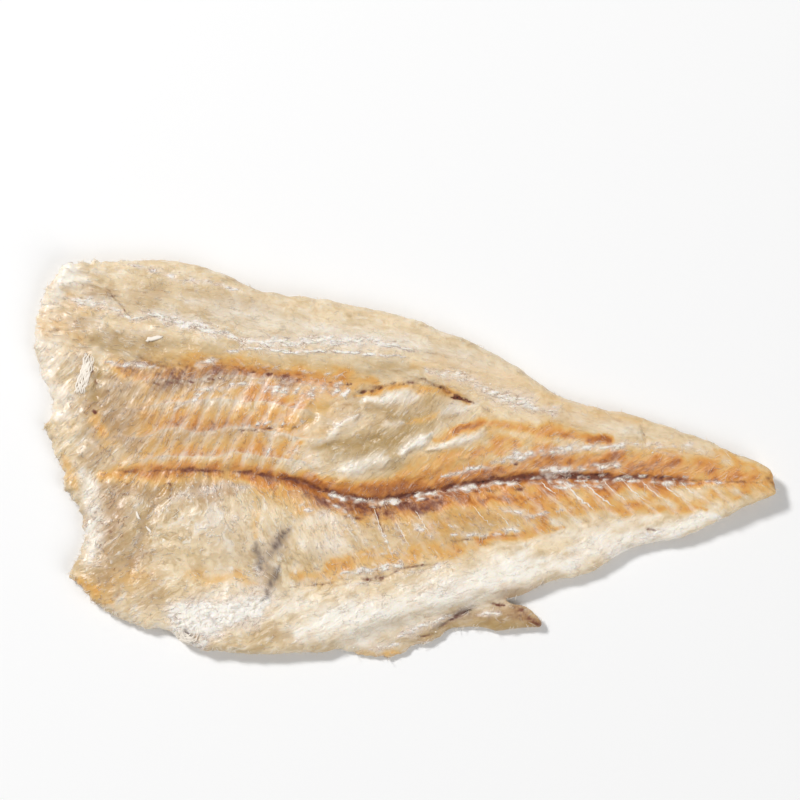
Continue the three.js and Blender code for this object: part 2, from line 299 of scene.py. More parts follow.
def locate(x: Array, y: Array, rim: Array, top: Array) -> Places:
    """Find how points lie in the fillet.

    Args:
        x: Along the fillet, tail to the right.
        y: Across it, back edge up.
        rim: Distance from the outline.
        top: 1 for points of the upper face, 0 for the underside.

    Returns:
        The points with their muscle, fibre and flake coordinates.
    """
    wander = Noise(SWAY_SEED)
    sway = bumps(wander, x, y, SWAYS)
    spine_gap = y - SPINE(x) + SPINE_SWAY * sway
    over_flank = smooth_step(-SEAM_BLEND, SEAM_BLEND, y - FLANK_SEAM(x) + sway)
    under_belly = smooth_step(-SEAM_BLEND, SEAM_BLEND, BELLY_SEAM(x) - y + sway)
    above = smooth_step(-SPINE_BLEND, SPINE_BLEND, spine_gap)
    upper = above * (1.0 - over_flank)
    lower = (1.0 - above) * (1.0 - under_belly)
    depth = np.abs(spine_gap)
    in_upper = above > 0.5
    lean = np.where(in_upper, UPPER_LEAN(x), LOWER_LEAN(x))
    pad_across = x - lean * depth
    in_roll = over_flank > 0.5
    in_belly = under_belly > 0.5
    in_rim = in_roll | in_belly
    turn = np.where(in_roll, ROLL_FIBRE_TURN, BELLY_FIBRE_TURN)
    side = np.where(in_upper, 1.0, -1.0)
    stretch = np.sqrt(1.0 + lean * lean)
    lie_x = np.where(in_rim, np.cos(turn), lean / stretch)
    lie_y = np.where(in_rim, np.sin(turn), side / stretch)
    grains = [np.stack([pad_across, depth * stretch])]
    for angle in (ROLL_FIBRE_TURN, BELLY_FIBRE_TURN):
        run = x * math.cos(angle) + y * math.sin(angle)
        grains.append(np.stack([y * math.cos(angle) - x * math.sin(angle), run]))
    pitch = np.where(in_upper, UPPER_PITCH, LOWER_PITCH)
    flake = (pad_across + FLAKE_SWAY * wander(x / FLAKE_BUMP[0], y / FLAKE_BUMP[1])) / pitch
    row_sway = ROW_SWAY * wander(x / ROW_BUMP[0], y / ROW_BUMP[1] + ROW_SHIFT)
    row = (spine_gap + ROW_LEAN * x + row_sway) / ROW_PITCH
    gaps = [np.abs(y - line(x) + sway) for line in (BACK_SEAM, FLANK_SEAM, BELLY_SEAM)]
    return Places(
        x=x, y=y, rim=rim, top=top, roll=over_flank, upper=upper, lower=lower, belly=under_belly,
        spine_gap=spine_gap, seam_gap=np.min(gaps, axis=0), grains=tuple(grains),
        flake=flake, row=row, lie=np.stack([lie_x, lie_y, np.zeros_like(x)], axis=1),
    )


# Browning, dry streaks and bruises, with a few painted highlights and painted shades, in millimetres seen
# from above

class Tint(Enum):
    """What a mark does to the flesh; each is stored on the mesh under its value. A few pale marks stand for
    painted highlights, and a few char, tan and glassy marks for painted shade.
    """

    PALE = "pale"
    TAN = "tan"
    GLASSY = "glassy"
    TOAST = "toast"
    CHAR = "char"
    DRY = "dry"
    BRUISE = "bruise"


BEADED = {Tint.DRY: 1.2, Tint.CHAR: 1.0}
WIDEST_BEADED = 3.5
BEAD_SIZE = (3.2, 1.2)
MARK_SEED = 23
STREAK_DEPTH = 0.32
STREAK_SIZE = (1.7, 7.0)
PATCH_DEPTH = 0.35
PATCH_SIZE = 4.0
PATCH_SHIFT = 40.0
BEAD_SHIFT = 80.0
FLECK_SPACING = (0.1, 0.9)
FLECK_SIZES = (0.5, 1.3)
FLECK_STRAY = (0.3, 0.35)
FLECK_STRENGTHS = (0.7, 1.0)
FLECK_WIDTHS = (0.7, 1.25)
ALONG_STEPS = 12


@dataclass(frozen=True)
class Mark:
    """A soft stroke on the flesh: its path, half width, strength and how far it lifts the face."""

    path: tuple[Point, ...]
    width: float
    strength: float = 1.0
    end_width: float = 0.0
    lift: float = 0.0

    REACH = 2.6
    SPARE = 1.5
    EDGE_BUMPS = ((1.5, 1.5, 0.6), (0.5, 0.7, 0.2))
    OTHER_AXIS = (31.0, 17.0)
    LONG = 4.0
    THIN_END = 0.35
    TAPER = 0.2
    FALL = 1.3

    def cover(self, points: Array, wander: Noise) -> Array:
        """Return how fully the stroke covers points, 0 to 1.

        Args:
            points: Points, one a row.
            wander: Noise that makes the edges of the stroke uneven.

        Returns:
            One share a point.
        """
        cover = np.zeros(len(points))
        corners = np.array(self.path)
        reach = self.REACH * max(self.width, self.end_width) + self.SPARE
        low = corners.min(axis=0) - reach
        high = corners.max(axis=0) + reach
        inside = np.all((points > low) & (points < high), axis=1)
        near = points[inside]
        shift = np.zeros_like(near)
        for per_width, spare, depth in self.EDGE_BUMPS:
            x, y = near.T / (per_width * self.width + spare)
            other = wander(x + self.OTHER_AXIS[0], y + self.OTHER_AXIS[1])
            shift += depth * np.stack([wander(x, y), other], axis=1)
        gap, share = distance_to_path(self.path, near + self.width * shift)
        half = self.width + ((self.end_width or self.width) - self.width) * share
        if np.linalg.norm(corners[-1] - corners[0]) > self.LONG * self.width:
            rise = (1.0 - self.THIN_END) * smooth_step(0.0, self.TAPER, share)
            half *= self.THIN_END + rise * smooth_step(1.0, 1.0 - self.TAPER, share)
        cover[inside] = np.exp(-self.FALL * (gap / half) ** 2)
        return cover


def along(line: Line, start: float, end: float, shift: float = 0.0) -> tuple[Point, ...]:
    """Return a path that follows a line from one x to another, shifted up by a few millimetres."""
    places = np.linspace(start, end, ALONG_STEPS)
    return tuple(zip(places, line(places) + shift))


def flecks(
    path: tuple[Point, ...], count: int, length: float, rise: float, width: float, strength: float,
    lift: float = 0.0,
) -> tuple[Mark, ...]:
    """Return short uneven strokes set one after another along a path.

    Args:
        path: Where the strokes start.
        count: How many strokes.
        length: How far a stroke follows the path.
        rise: How far a stroke climbs away from the path.
        width: Half width of a stroke.
        strength: Strength of a stroke.
        lift: How far a stroke lifts the face.

    Returns:
        The strokes.
    """
    rng = np.random.default_rng(count)
    corners = np.array(path)
    travel = travel_along(corners)
    strokes = []
    for start in (np.arange(count) + rng.uniform(*FLECK_SPACING, count)) * travel[-1] / count:
        size = rng.uniform(*FLECK_SIZES)
        x, y = points_along(corners, travel, np.array([start, start + size * length]))
        x += rng.normal(0.0, FLECK_STRAY[0])
        y += rng.normal(0.0, FLECK_STRAY[1])
        y[1] += size * rise
        share = rng.uniform(*FLECK_STRENGTHS)
        half_width = width * rng.uniform(*FLECK_WIDTHS)
        strokes.append(Mark(tuple(zip(x, y)), half_width, share * strength, lift=lift))
    return tuple(strokes)


PALE_AND_HIGHLIGHT_STROKES = (
    # The first seven strokes lie on the raised folds and bumps of the bulge: pale flesh with a painted
    # highlight along their tops.
    Mark(((-26, 5.5), (-22, 10), (-15.5, 13.5)), 1.3, 0.9, end_width=1, lift=0.6),
    Mark(((-7.5, 10), (-0.5, 11.5)), 1.3, 0.4),
    Mark(((-2, 0.5), (5, 4.5), (9, 7.5)), 1.3, 1, end_width=1, lift=0.45),
    Mark(((-22, -5.5), (-15, -3.5), (-5.5, -0.5)), 1.7, 0.5, end_width=1.3, lift=0.3),
    Mark(((8.5, 2.5), (16, 4.5), (27.5, 9)), 1.7, 1, end_width=1.3, lift=0.45),
    Mark(((12, 15), (17, 17.5)), 2, 0.6),
    Mark(((-38, 9), (-34, 16), (-31, 19)), 1.2, 0.7, end_width=1, lift=0.4),
    Mark(((-45.5, 5.5), (-41.5, 17.5)), 1.2, 0.6),
    Mark(((-67.5, 5.5), (-61.5, 15)), 0.8, 0.5),
    Mark(((-72.5, 53), (-49, 46), (-25, 40), (5, 36)), 4.7, 0.4),
    # Along the shoulder end's left rim: pale flesh with a painted highlight.
    Mark(((-115.5, 61.5), (-119.5, 49.5), (-121, 38)), 6.1, 1),
    Mark(((39, -29.5), (62.5, -24.5), (86, -19.5)), 2.7, 0.4),
    Mark(((5, -46.5), (25.5, -41.5), (45.5, -35.5)), 4.7, 0.6),
    Mark(((-40.5, -48), (-25, -55)), 6.1, 0.5),
    Mark(((52.5, -35), (79.5, -28), (106.5, -21.5)), 7.4, 1, end_width=2.7),
    Mark(((57.5, -30.5), (79.5, -26.5), (96.5, -22.5)), 4, 0.7, end_width=2),
    Mark(((-35.5, -61.5), (-8.5, -53.5), (15.5, -45.5), (52.5, -34)), 7.1, 1),
    Mark(((-67.5, -21.5), (-54, -29.5)), 10.1, 0.22),
    Mark(((-15, 18.5), (-5, 20), (7, 22.5)), 3, 0.8),
    Mark(((-74.5, -57.5), (-60.5, -53.5), (-47, -48.5)), 6.4, 1),
    Mark(((-72.5, -55.5), (-60.5, -52.5), (-50, -49)), 4.7, 0.9),
    Mark(((-32, 43), (5, 38), (25.5, 29.5), (45.5, 18.5)), 4, 0.4),
    Mark(((47.5, 16.5), (62.5, 12.5), (79.5, 8)), 4, 0.45),
    Mark(((-25, -23), (-18.5, -35)), 5.4, 0.45),
    Mark(((-84, 49), (-69, 45.5)), 3, 0.45),
    # Along the shoulder end's left rim: pale flesh with a painted highlight.
    Mark(((-123, 38), (-119, 24.5), (-114, 12.5)), 4.4, 0.9),
    Mark(((-116, 65), (-108, 59.5)), 3.4, 0.5),
    # Along the shoulder end's left rim: pale flesh with a painted highlight.
    Mark(((-108, -4.5), (-103.5, -21.5), (-105.5, -35)), 3.7, 0.8),
    Mark(((-41, 2.5), (-29, -3)), 3, 0.6),
    Mark(((-38, 17.5), (-35.5, 9), (-29, 5.5)), 2.4, 0.5),
    Mark(((-23.5, -5), (-13.5, -2.5), (-6.5, 1)), 2, 0.45),
    Mark(((-1.5, 2.5), (7, 5.5)), 2, 0.6),
    Mark(((12, 4), (27, 8.5)), 2, 0.8),
    Mark(((17, 15), (25.5, 18.5)), 2, 0.5),
    Mark(((-35.5, -21.5), (-20, -18.5)), 3.7, 0.45),
    Mark(((-35.5, -29.5), (-18.5, -29.5)), 3.7, 0.5),
    Mark(((-23, -7), (-14, -3.5), (-6, -1.5)), 2.7, 0.4),
    Mark(((52.5, -14.5), (62.5, -17)), 3, 0.5),
    Mark(((32, -0.5), (52.5, 1.5), (73.5, 3.5)), 1.7, 0.5),
    Mark(((66, -16), (79.5, -15), (96.5, -14.5)), 2, 0.4),
    Mark(((34, -14.5), (45.5, -16)), 3.4, 0.3),
)
TAN_AND_SHADE_STROKES = (
    Mark(((-99.5, 26.5), (-86, 24.5), (-65.5, 23.5), (-52, 23.5)), 5.7, 1),
    Mark(((-101, 16), (-75.5, 9), (-38.5, 5.5)), 11.5, 0.85),
    Mark(((-101, 14), (-92.5, 9), (-86, 2.5)), 7.4, 1),
    Mark(((-102.5, 17.5), (-86, 5.5)), 8.8, 0.5),
    Mark(((-99.5, -9), (-79, -10), (-54, -11)), 4.4, 0.9),
    Mark(((-101, 5.5), (-99.5, -14.5), (-101, -35), (-97.5, -48)), 6.7, 0.3),
    Mark(((-96, 41), (-82.5, 38)), 4.7, 0.4),
    Mark(((-20, -21.5), (-1.5, -21.5), (25.5, -20)), 4.7, 0.6),
    Mark(((-25, 9), (-18.5, 15), (-1.5, 16), (22, 15)), 6.7, 0.4),
    Mark(((34, -46.5), (42.5, -48)), 3.4, 0.5),
    Mark(((-111, 46), (-106, 38), (-109.5, 31)), 6.1, 0.35),
    Mark(((-99.5, 19), (-101, 5.5), (-106, -1)), 5.4, 0.55),
    Mark(((-99.5, -14.5), (-96, -28), (-99.5, -45)), 8.1, 0.65),
    Mark(((-75.5, -18), (-59, -21.5), (-50.5, -29.5)), 8.1, 0.2),
    Mark(((8.5, -22), (32, -20.5)), 4, 0.8),
    Mark(((25.5, -52.5), (35.5, -53.5), (46, -57)), 4, 1),
    Mark(((30.5, -45), (42.5, -46), (51, -43.5)), 3, 0.7),
    Mark(((0, -61.5), (12, -57.5), (25.5, -52.5)), 3, 0.6),
    Mark(((-86, -35), (-86, -48)), 6.1, 0.35),
    # Darker line along the diagonal crease of the lower left: painted shade over a groove.
    Mark(((-81, -10.5), (-85, -19), (-89, -29.5), (-95.5, -48)), 2.7, 0.6, end_width=2, lift=-0.35),
    Mark(((-109.5, 57), (-96.5, 54.5)), 2.4, 0.6),
    Mark(((-92.5, 53), (-82.5, 54.5)), 5.4, 0.4),
    Mark(((-69, 53), (-52, 49.5)), 4.7, 0.3),
    Mark(((84.5, 8), (96.5, 3.5), (108, -1.5)), 3.4, 0.15, end_width=2),
    Mark(((-86, 24.5), (-75.5, 19)), 4, 0.5),
    Mark(((1.5, -47.5), (26, -45)), 3, 0.35),
    Mark(((-45.5, -58.5), (-35.5, -61.5)), 3, 0.3),
    Mark(((-79, -8.5), (-55.5, -8.5)), 2.4, 0.4),
    Mark(((-38.5, -24), (-45.5, -35), (-48, -49)), 4, 0.4),
)
GLASSY_AND_SHADE_STROKES = (
    Mark(along(FLANK_SEAM, -104, 5, 4.2), 3.7, 0.5),
    Mark(((-89, 39.5), (-69, 37)), 3, 0.4),
    Mark(((-92.5, 58), (-75.5, 55.5), (-55.5, 51.5), (-42, 47)), 5.1, 0.28),
    # Dark khaki in a hollow of the bulge: glassy flesh with painted shade.
    Mark(((-33.5, 10), (-29, 15), (-23.5, 18)), 2.4, 0.9),
    Mark(((-31.5, 2.5), (-20, 3.5), (-9, 5), (2, 8.5)), 3.4, 0.95),
    Mark(((-12, 16), (-3, 14), (7, 12.5)), 3, 0.8),
    Mark(((-3, 5.5), (8.5, 11), (15.5, 15)), 4, 0.6),
    Mark(((-18.5, 0.5), (-1.5, -3.5), (8.5, -5)), 4.7, 0.7),
    Mark(((-30, 3.5), (-15, 2.5), (2.5, 5.5)), 4.4, 0.7),
    Mark(((-27, -28), (-1.5, -29.5)), 6.7, 0.15),
    Mark(((8.5, 17.5), (17, 15)), 3, 0.6),
    Mark(((3.5, -24.5), (13.5, -29.5)), 5.7, 0.6),
    Mark(((12, -19.5), (39, -19.5)), 4.7, 0.55),
    Mark(((-16.5, -64.5), (8.5, -59.5), (32, -54), (45.5, -56.5)), 3.4, 0.95),
    Mark(((29, -45.5), (40.5, -45)), 2, 0.6),
    Mark(((-35.5, -35), (-11.5, -32)), 4.7, 0.3),
    Mark(((-103.5, 31), (-104.5, 19)), 2, 0.8),
    Mark(((-99.5, 17.5), (-86, 19)), 4.7, 0.4),
    Mark(((-104.5, 41), (-96, 38)), 4, 0.5),
    Mark(((-86, -11), (-75.5, -9.5)), 3, 0.4),
    Mark(((-96, -35), (-89, -21.5)), 4.4, 0.35),
)
TOAST_STROKES = (
    Mark(along(SPINE, -101, -35), 5.5, 0.53),
    Mark(along(SPINE, -94, -35), 2.5, 0.4),
    Mark(((-55.5, -8), (-38.5, -10.5), (-25, -16)), 5.9, 0.53),
    Mark(along(SPINE, -40, 106), 5.5, 0.88, end_width=3.4),
    Mark(along(SPINE, -32, 96, 1.5), 7.2, 0.48, end_width=5.9),
    Mark(((-27, -7), (-18.5, -11), (-6, -12), (5, -10), (16, -6.5), (32, -4.5)), 3.4, 0.62),
    Mark(
        ((-28.5, -14.5), (-20, -18), (-6.5, -19), (5, -17), (18.5, -15), (39, -13.5)),
        3, 0.7, end_width=2.5,
    ),
    Mark(along(FLANK_SEAM, -99, -10, -1.0), 5.9, 0.48),
    Mark(((-72.5, 30.5), (-55.5, 29.5), (-35.5, 27.5)), 2.1, 0.44),
    Mark(((-82.5, 9), (-62, 11), (-35.5, 13)), 11.8, 0.44),
    Mark(((-57, 14), (-48, 17.5), (-35.5, 16.5)), 5.1, 0.3),
    Mark(((-59.5, 0.5), (-48, 1.5), (-35.5, 3.5)), 4.6, 0.37),
    Mark(((-81, 0.5), (-64, 1.5)), 3.8, 0.31),
    Mark(((-87.5, 14), (-75.5, 16)), 4.2, 0.26),
    Mark(((-104, 12.5), (-100, 5.5)), 3, 0.4),
    Mark(((10.5, 5.5), (22, 9.5), (27.5, 11.5)), 2.1, 0.53),
    Mark(((-3, -7), (12, -1.5), (32, 2.5)), 3.8, 0.44),
    Mark(((1, 11), (7, 12.5), (11.5, 15)), 1.3, 0.44),
    Mark(((32, 5.5), (39, 3.5)), 3.8, 0.53),
    Mark(((37.5, 0.5), (52.5, -1.5), (79.5, -2.5), (99.5, -3.5), (118.5, -8)), 7.6, 0.6, end_width=3.4),
    Mark(((17, 8), (25.5, 11), (36.5, 10), (47.5, 9), (61, 6.5), (67.5, 5.5)), 2.5, 0.66),
    Mark(((62.5, 5.5), (68.5, 5)), 1.9, 0.88),
    Mark(((68, -0.5), (72.5, 1)), 1.9, 0.84),
    Mark(((87.5, -2), (91.5, -1)), 3, 0.62),
    Mark(((79.5, -0.5), (99.5, -2.5), (113, -6.5)), 5.5, 0.23, end_width=3),
    Mark(((34, -15.5), (59, -14.5), (86, -14.5), (115, -12.5)), 6.3, 0.44, end_width=2.5),
    Mark(((66, -17.5), (83, -17.5), (100.5, -18)), 2.1, 0.53),
    Mark(((115, -8.5), (125, -10)), 5.9, 0.55),
    Mark(((-73.5, -39.5), (-64, -40.5), (-55, -41), (-49, -43)), 3.4, 0.25),
    Mark(((-50, -14.5), (-50, -28)), 1.3, 0.26),
    Mark(((-37, -41.5), (-27, -40), (-18.5, -38)), 3.8, 0.37),
    Mark(((-25, -37), (0, -33.5), (12, -32), (26, -29.5)), 3.8, 0.37),
    Mark(((23.5, -28.5), (34.5, -27), (52.5, -24)), 2.5, 0.62),
    Mark(((-28.5, -26.5), (-1.5, -28)), 7.6, 0.14),
    Mark(((8.5, -23.5), (32, -18.5), (52.5, -17)), 6.3, 0.35),
    Mark(((3.5, -24), (15.5, -29.5)), 6.7, 0.22),
    Mark(((-115.5, 57), (-108, 49), (-99.5, 50.5)), 2.5, 0.26),
    Mark(((-121.5, 44.5), (-111, 40)), 3.8, 0.16),
    Mark(((-110, -40), (-98.5, -49.5)), 3, 0.35),
    Mark(((-96.5, -42), (-86.5, -41)), 3.8, 0.26),
    Mark(((39, -52.5), (46, -57)), 3, 0.18),
    Mark(((-18.5, -67), (0, -66)), 1.7, 0.31),
    Mark(((103.5, 2.5), (119.5, -5.5)), 2.1, 0.4),
    Mark(((5, 32), (32, 24), (52.5, 16.5), (79.5, 9)), 6.3, 0.18),
    Mark(((-49, 51.5), (-22, 45.5), (5, 38)), 5.9, 0.05),
    Mark(((72.5, -1.5), (99.5, -3)), 4.2, 0.09),
    Mark(((39, 1.5), (66, -1)), 5.1, 0.22),
    Mark(((-115.5, 0.5), (-109.5, -11)), 2.1, 0.31),
    Mark(((-115.5, 59.5), (-119, 46), (-117.5, 24.5), (-113, 9)), 7.2, 0.12),
    Mark(((-35.5, 27), (-23.5, 25.5)), 3.4, 0.26),
    Mark(((-16.5, 20), (-2, 23.5), (12, 23), (22, 18)), 2.1, 0.44),
    Mark(((72, 3.5), (96.5, 1.5)), 3.4, 0.14),
)
CHAR_AND_SHADE_STROKES = (
    Mark(along(SPINE, -86, -39), 0.7, 0.5, lift=-0.2),
    Mark(along(SPINE, -94, -35), 3.4, 0.28),
    Mark(along(SPINE, -35, 96, 0.5), 4.4, 0.06, end_width=3.4),
    Mark(((-97.5, 17.5), (-75.5, 10), (-47, 8.5)), 10.1, 0.23),
    Mark(along(FLANK_SEAM, -98, -35, -1.4), 5.1, 0.32),
    Mark(along(FLANK_SEAM, -42, -12, -1.6), 4.7, 0.14),
    *flecks(((-86, 24.5), (-57, 26.5)), 8, 3, -1, 0.4, 0.5, lift=-0.2),
    *flecks(along(SPINE, -23, 42, -1.9), 15, 2.4, 0, 0.5, 0.85, lift=-0.3),
    *flecks(along(FLANK_SEAM, -59, -15, -0.6), 9, 2, 0.4, 0.4, 0.5, lift=-0.25),
    *flecks(((-57, 8), (-33.5, 10)), 7, 1.8, 0.3, 0.3, 0.5, lift=-0.2),
    *flecks(((-35.5, -35), (-20, -41.5)), 5, 2.4, 0.5, 0.3, 0.35, lift=-0.2),
    Mark(((-96, 30.5), (-82.5, 29.5), (-70.5, 30.5)), 3.7, 0.18),
    Mark(((-87.5, 24), (-67.5, 22.5)), 4, 0.14),
    Mark(((-33, -14), (-20, -17), (-6.5, -18), (12, -16.5)), 3.6, 0.58),
    Mark(((8.5, -22), (32, -20.5)), 4.7, 0.2),
    Mark(((7, -26.5), (18.5, -29)), 4.7, 0.12),
    Mark(((39.5, -52.5), (46, -57.5)), 2.7, 0.5),
    Mark(((17, -54.5), (32, -52.5), (45.5, -55.5)), 3, 0.25),
    Mark(((11, -57.5), (17, -54), (23, -51)), 0.5, 0.7, lift=-0.5),
    Mark(((121.5, -8), (126, -11)), 1.7, 0.45),
    Mark(((40.5, -49), (51, -44)), 1, 0.4),
    Mark(along(SPINE, -42, 2, 0.5), 1.1, 0.8, lift=-0.45),
    Mark(along(SPINE, -6, 32, 0.8), 1.1, 0.8, end_width=1.3, lift=-0.45),
    Mark(along(SPINE, 25, 66, 1.0), 1.5, 1, end_width=1.3, lift=-0.5),
    Mark(along(SPINE, 54, 93, 0.5), 1.4, 0.95, end_width=0.7, lift=-0.4),
    Mark(along(SPINE, 83, 120), 0.5, 0.5, lift=-0.2),
    Mark(((-100.5, 56.5), (-96, 51), (-91.5, 45.5)), 0.4, 0.4, lift=-0.4),
    Mark(((-91.5, 45.5), (-84, 47), (-75.5, 44), (-64, 41), (-57, 40), (-38.5, 39.5)), 0.4, 0.3, lift=-0.3),
    Mark(((-83.5, 23.5), (-75.5, 26.5), (-66.5, 28), (-57, 28.5)), 2.4, 0.2),
    Mark(((-92.5, 31.5), (-86, 30.5)), 1, 0.5),
    Mark(((-121.5, 42), (-109.5, 43)), 0.4, 0.3, lift=-0.3),
    *flecks(
        ((-16.5, 20.5), (-10.5, 23), (-2, 24.5), (6, 25.5), (11.5, 23.5), (16, 21.5)),
        17, 2, 0, 0.5, 0.45, lift=-0.6,
    ),
    Mark(((-17.5, 20), (-10.5, 23), (-2, 24.5), (6, 25.5), (11.5, 23.5), (18.5, 20)), 1.2, 0.26, lift=-0.4),
    # Black slit: painted shadow inside a small slit, over a dent.
    Mark(((15.5, 20), (19.5, 19.5), (22.5, 18.5)), 0.5, 1.9, end_width=0.4, lift=-1.2),
    Mark(((12, 22), (22, 18)), 1.7, 0.3, lift=-0.5),
    Mark(((22, 19), (25.5, 17), (29.5, 15)), 0.6, 0.4, lift=-0.5),
    # Thin dark line on the upper left side of the white fold on the bulge: painted shadow.
    Mark(((-24, 9), (-18.5, 13)), 0.3, 0.5, lift=-0.4),
    Mark(((-14.5, -41), (-6, -40.5)), 1.1, 0.5, lift=-0.4),
    Mark(((-9.5, -18), (-7, -25.5)), 0.7, 0.5, lift=-0.2),
    Mark(((-3, -23), (0, -29)), 0.7, 0.5, lift=-0.2),
    Mark(((-6, -40.5), (-0.5, -37.5), (12, -36)), 0.5, 0.5, lift=-0.2),
    Mark(((-38.5, -44), (-25, -42.5), (-17.5, -41)), 0.4, 0.4, lift=-0.2),
    Mark(((15.5, -28.5), (29, -27.5), (39, -26.5)), 0.5, 0.35, lift=-0.2),
    Mark(((-20, -20), (-11.5, -22), (-3, -24.5)), 0.5, 0.3, lift=-0.2),
    Mark(((-28.5, -18.5), (-18.5, -24.5)), 0.4, 0.25, lift=-0.2),
    Mark(((5, -60.5), (11, -59.5)), 0.5, 0.7, lift=-0.5),
    # This stroke and the next: thin dark lines in the crease between the flap and the belly rim, painted
    # shade over a groove.
    Mark(((29, -49.5), (34, -50)), 0.5, 0.8, lift=-0.5),
    Mark(((12, -55), (22, -51.5)), 0.8, 0.3, lift=-0.4),
    Mark(((37, -2.5), (37.5, -2.5)), 0.6, 2.6),
    Mark(((-104.5, 15), (-104, 15)), 0.6, 2),
    Mark(((-106, 33.5), (-103.5, 22)), 0.7, 0.4, lift=-0.5),
    Mark(((-96, -5.5), (-91, -4.5)), 1.3, 0.4),
    Mark(((79.5, 11), (81.5, 4.5)), 0.4, 0.3, lift=-0.5),
    Mark(((81, -24.5), (84.5, -25)), 0.7, 0.7, lift=-0.5),
    Mark(((-79, -9), (-78.5, -11)), 0.8, 0.5),
    Mark(((-67.5, 21.5), (-81, 14)), 0.3, 0.35, lift=-0.2),
    Mark(((-57, 8.5), (-35.5, 10)), 0.3, 0.3, lift=-0.2),
    Mark(((-16.5, -67.5), (-4, -67.5)), 0.5, 0.4),
)
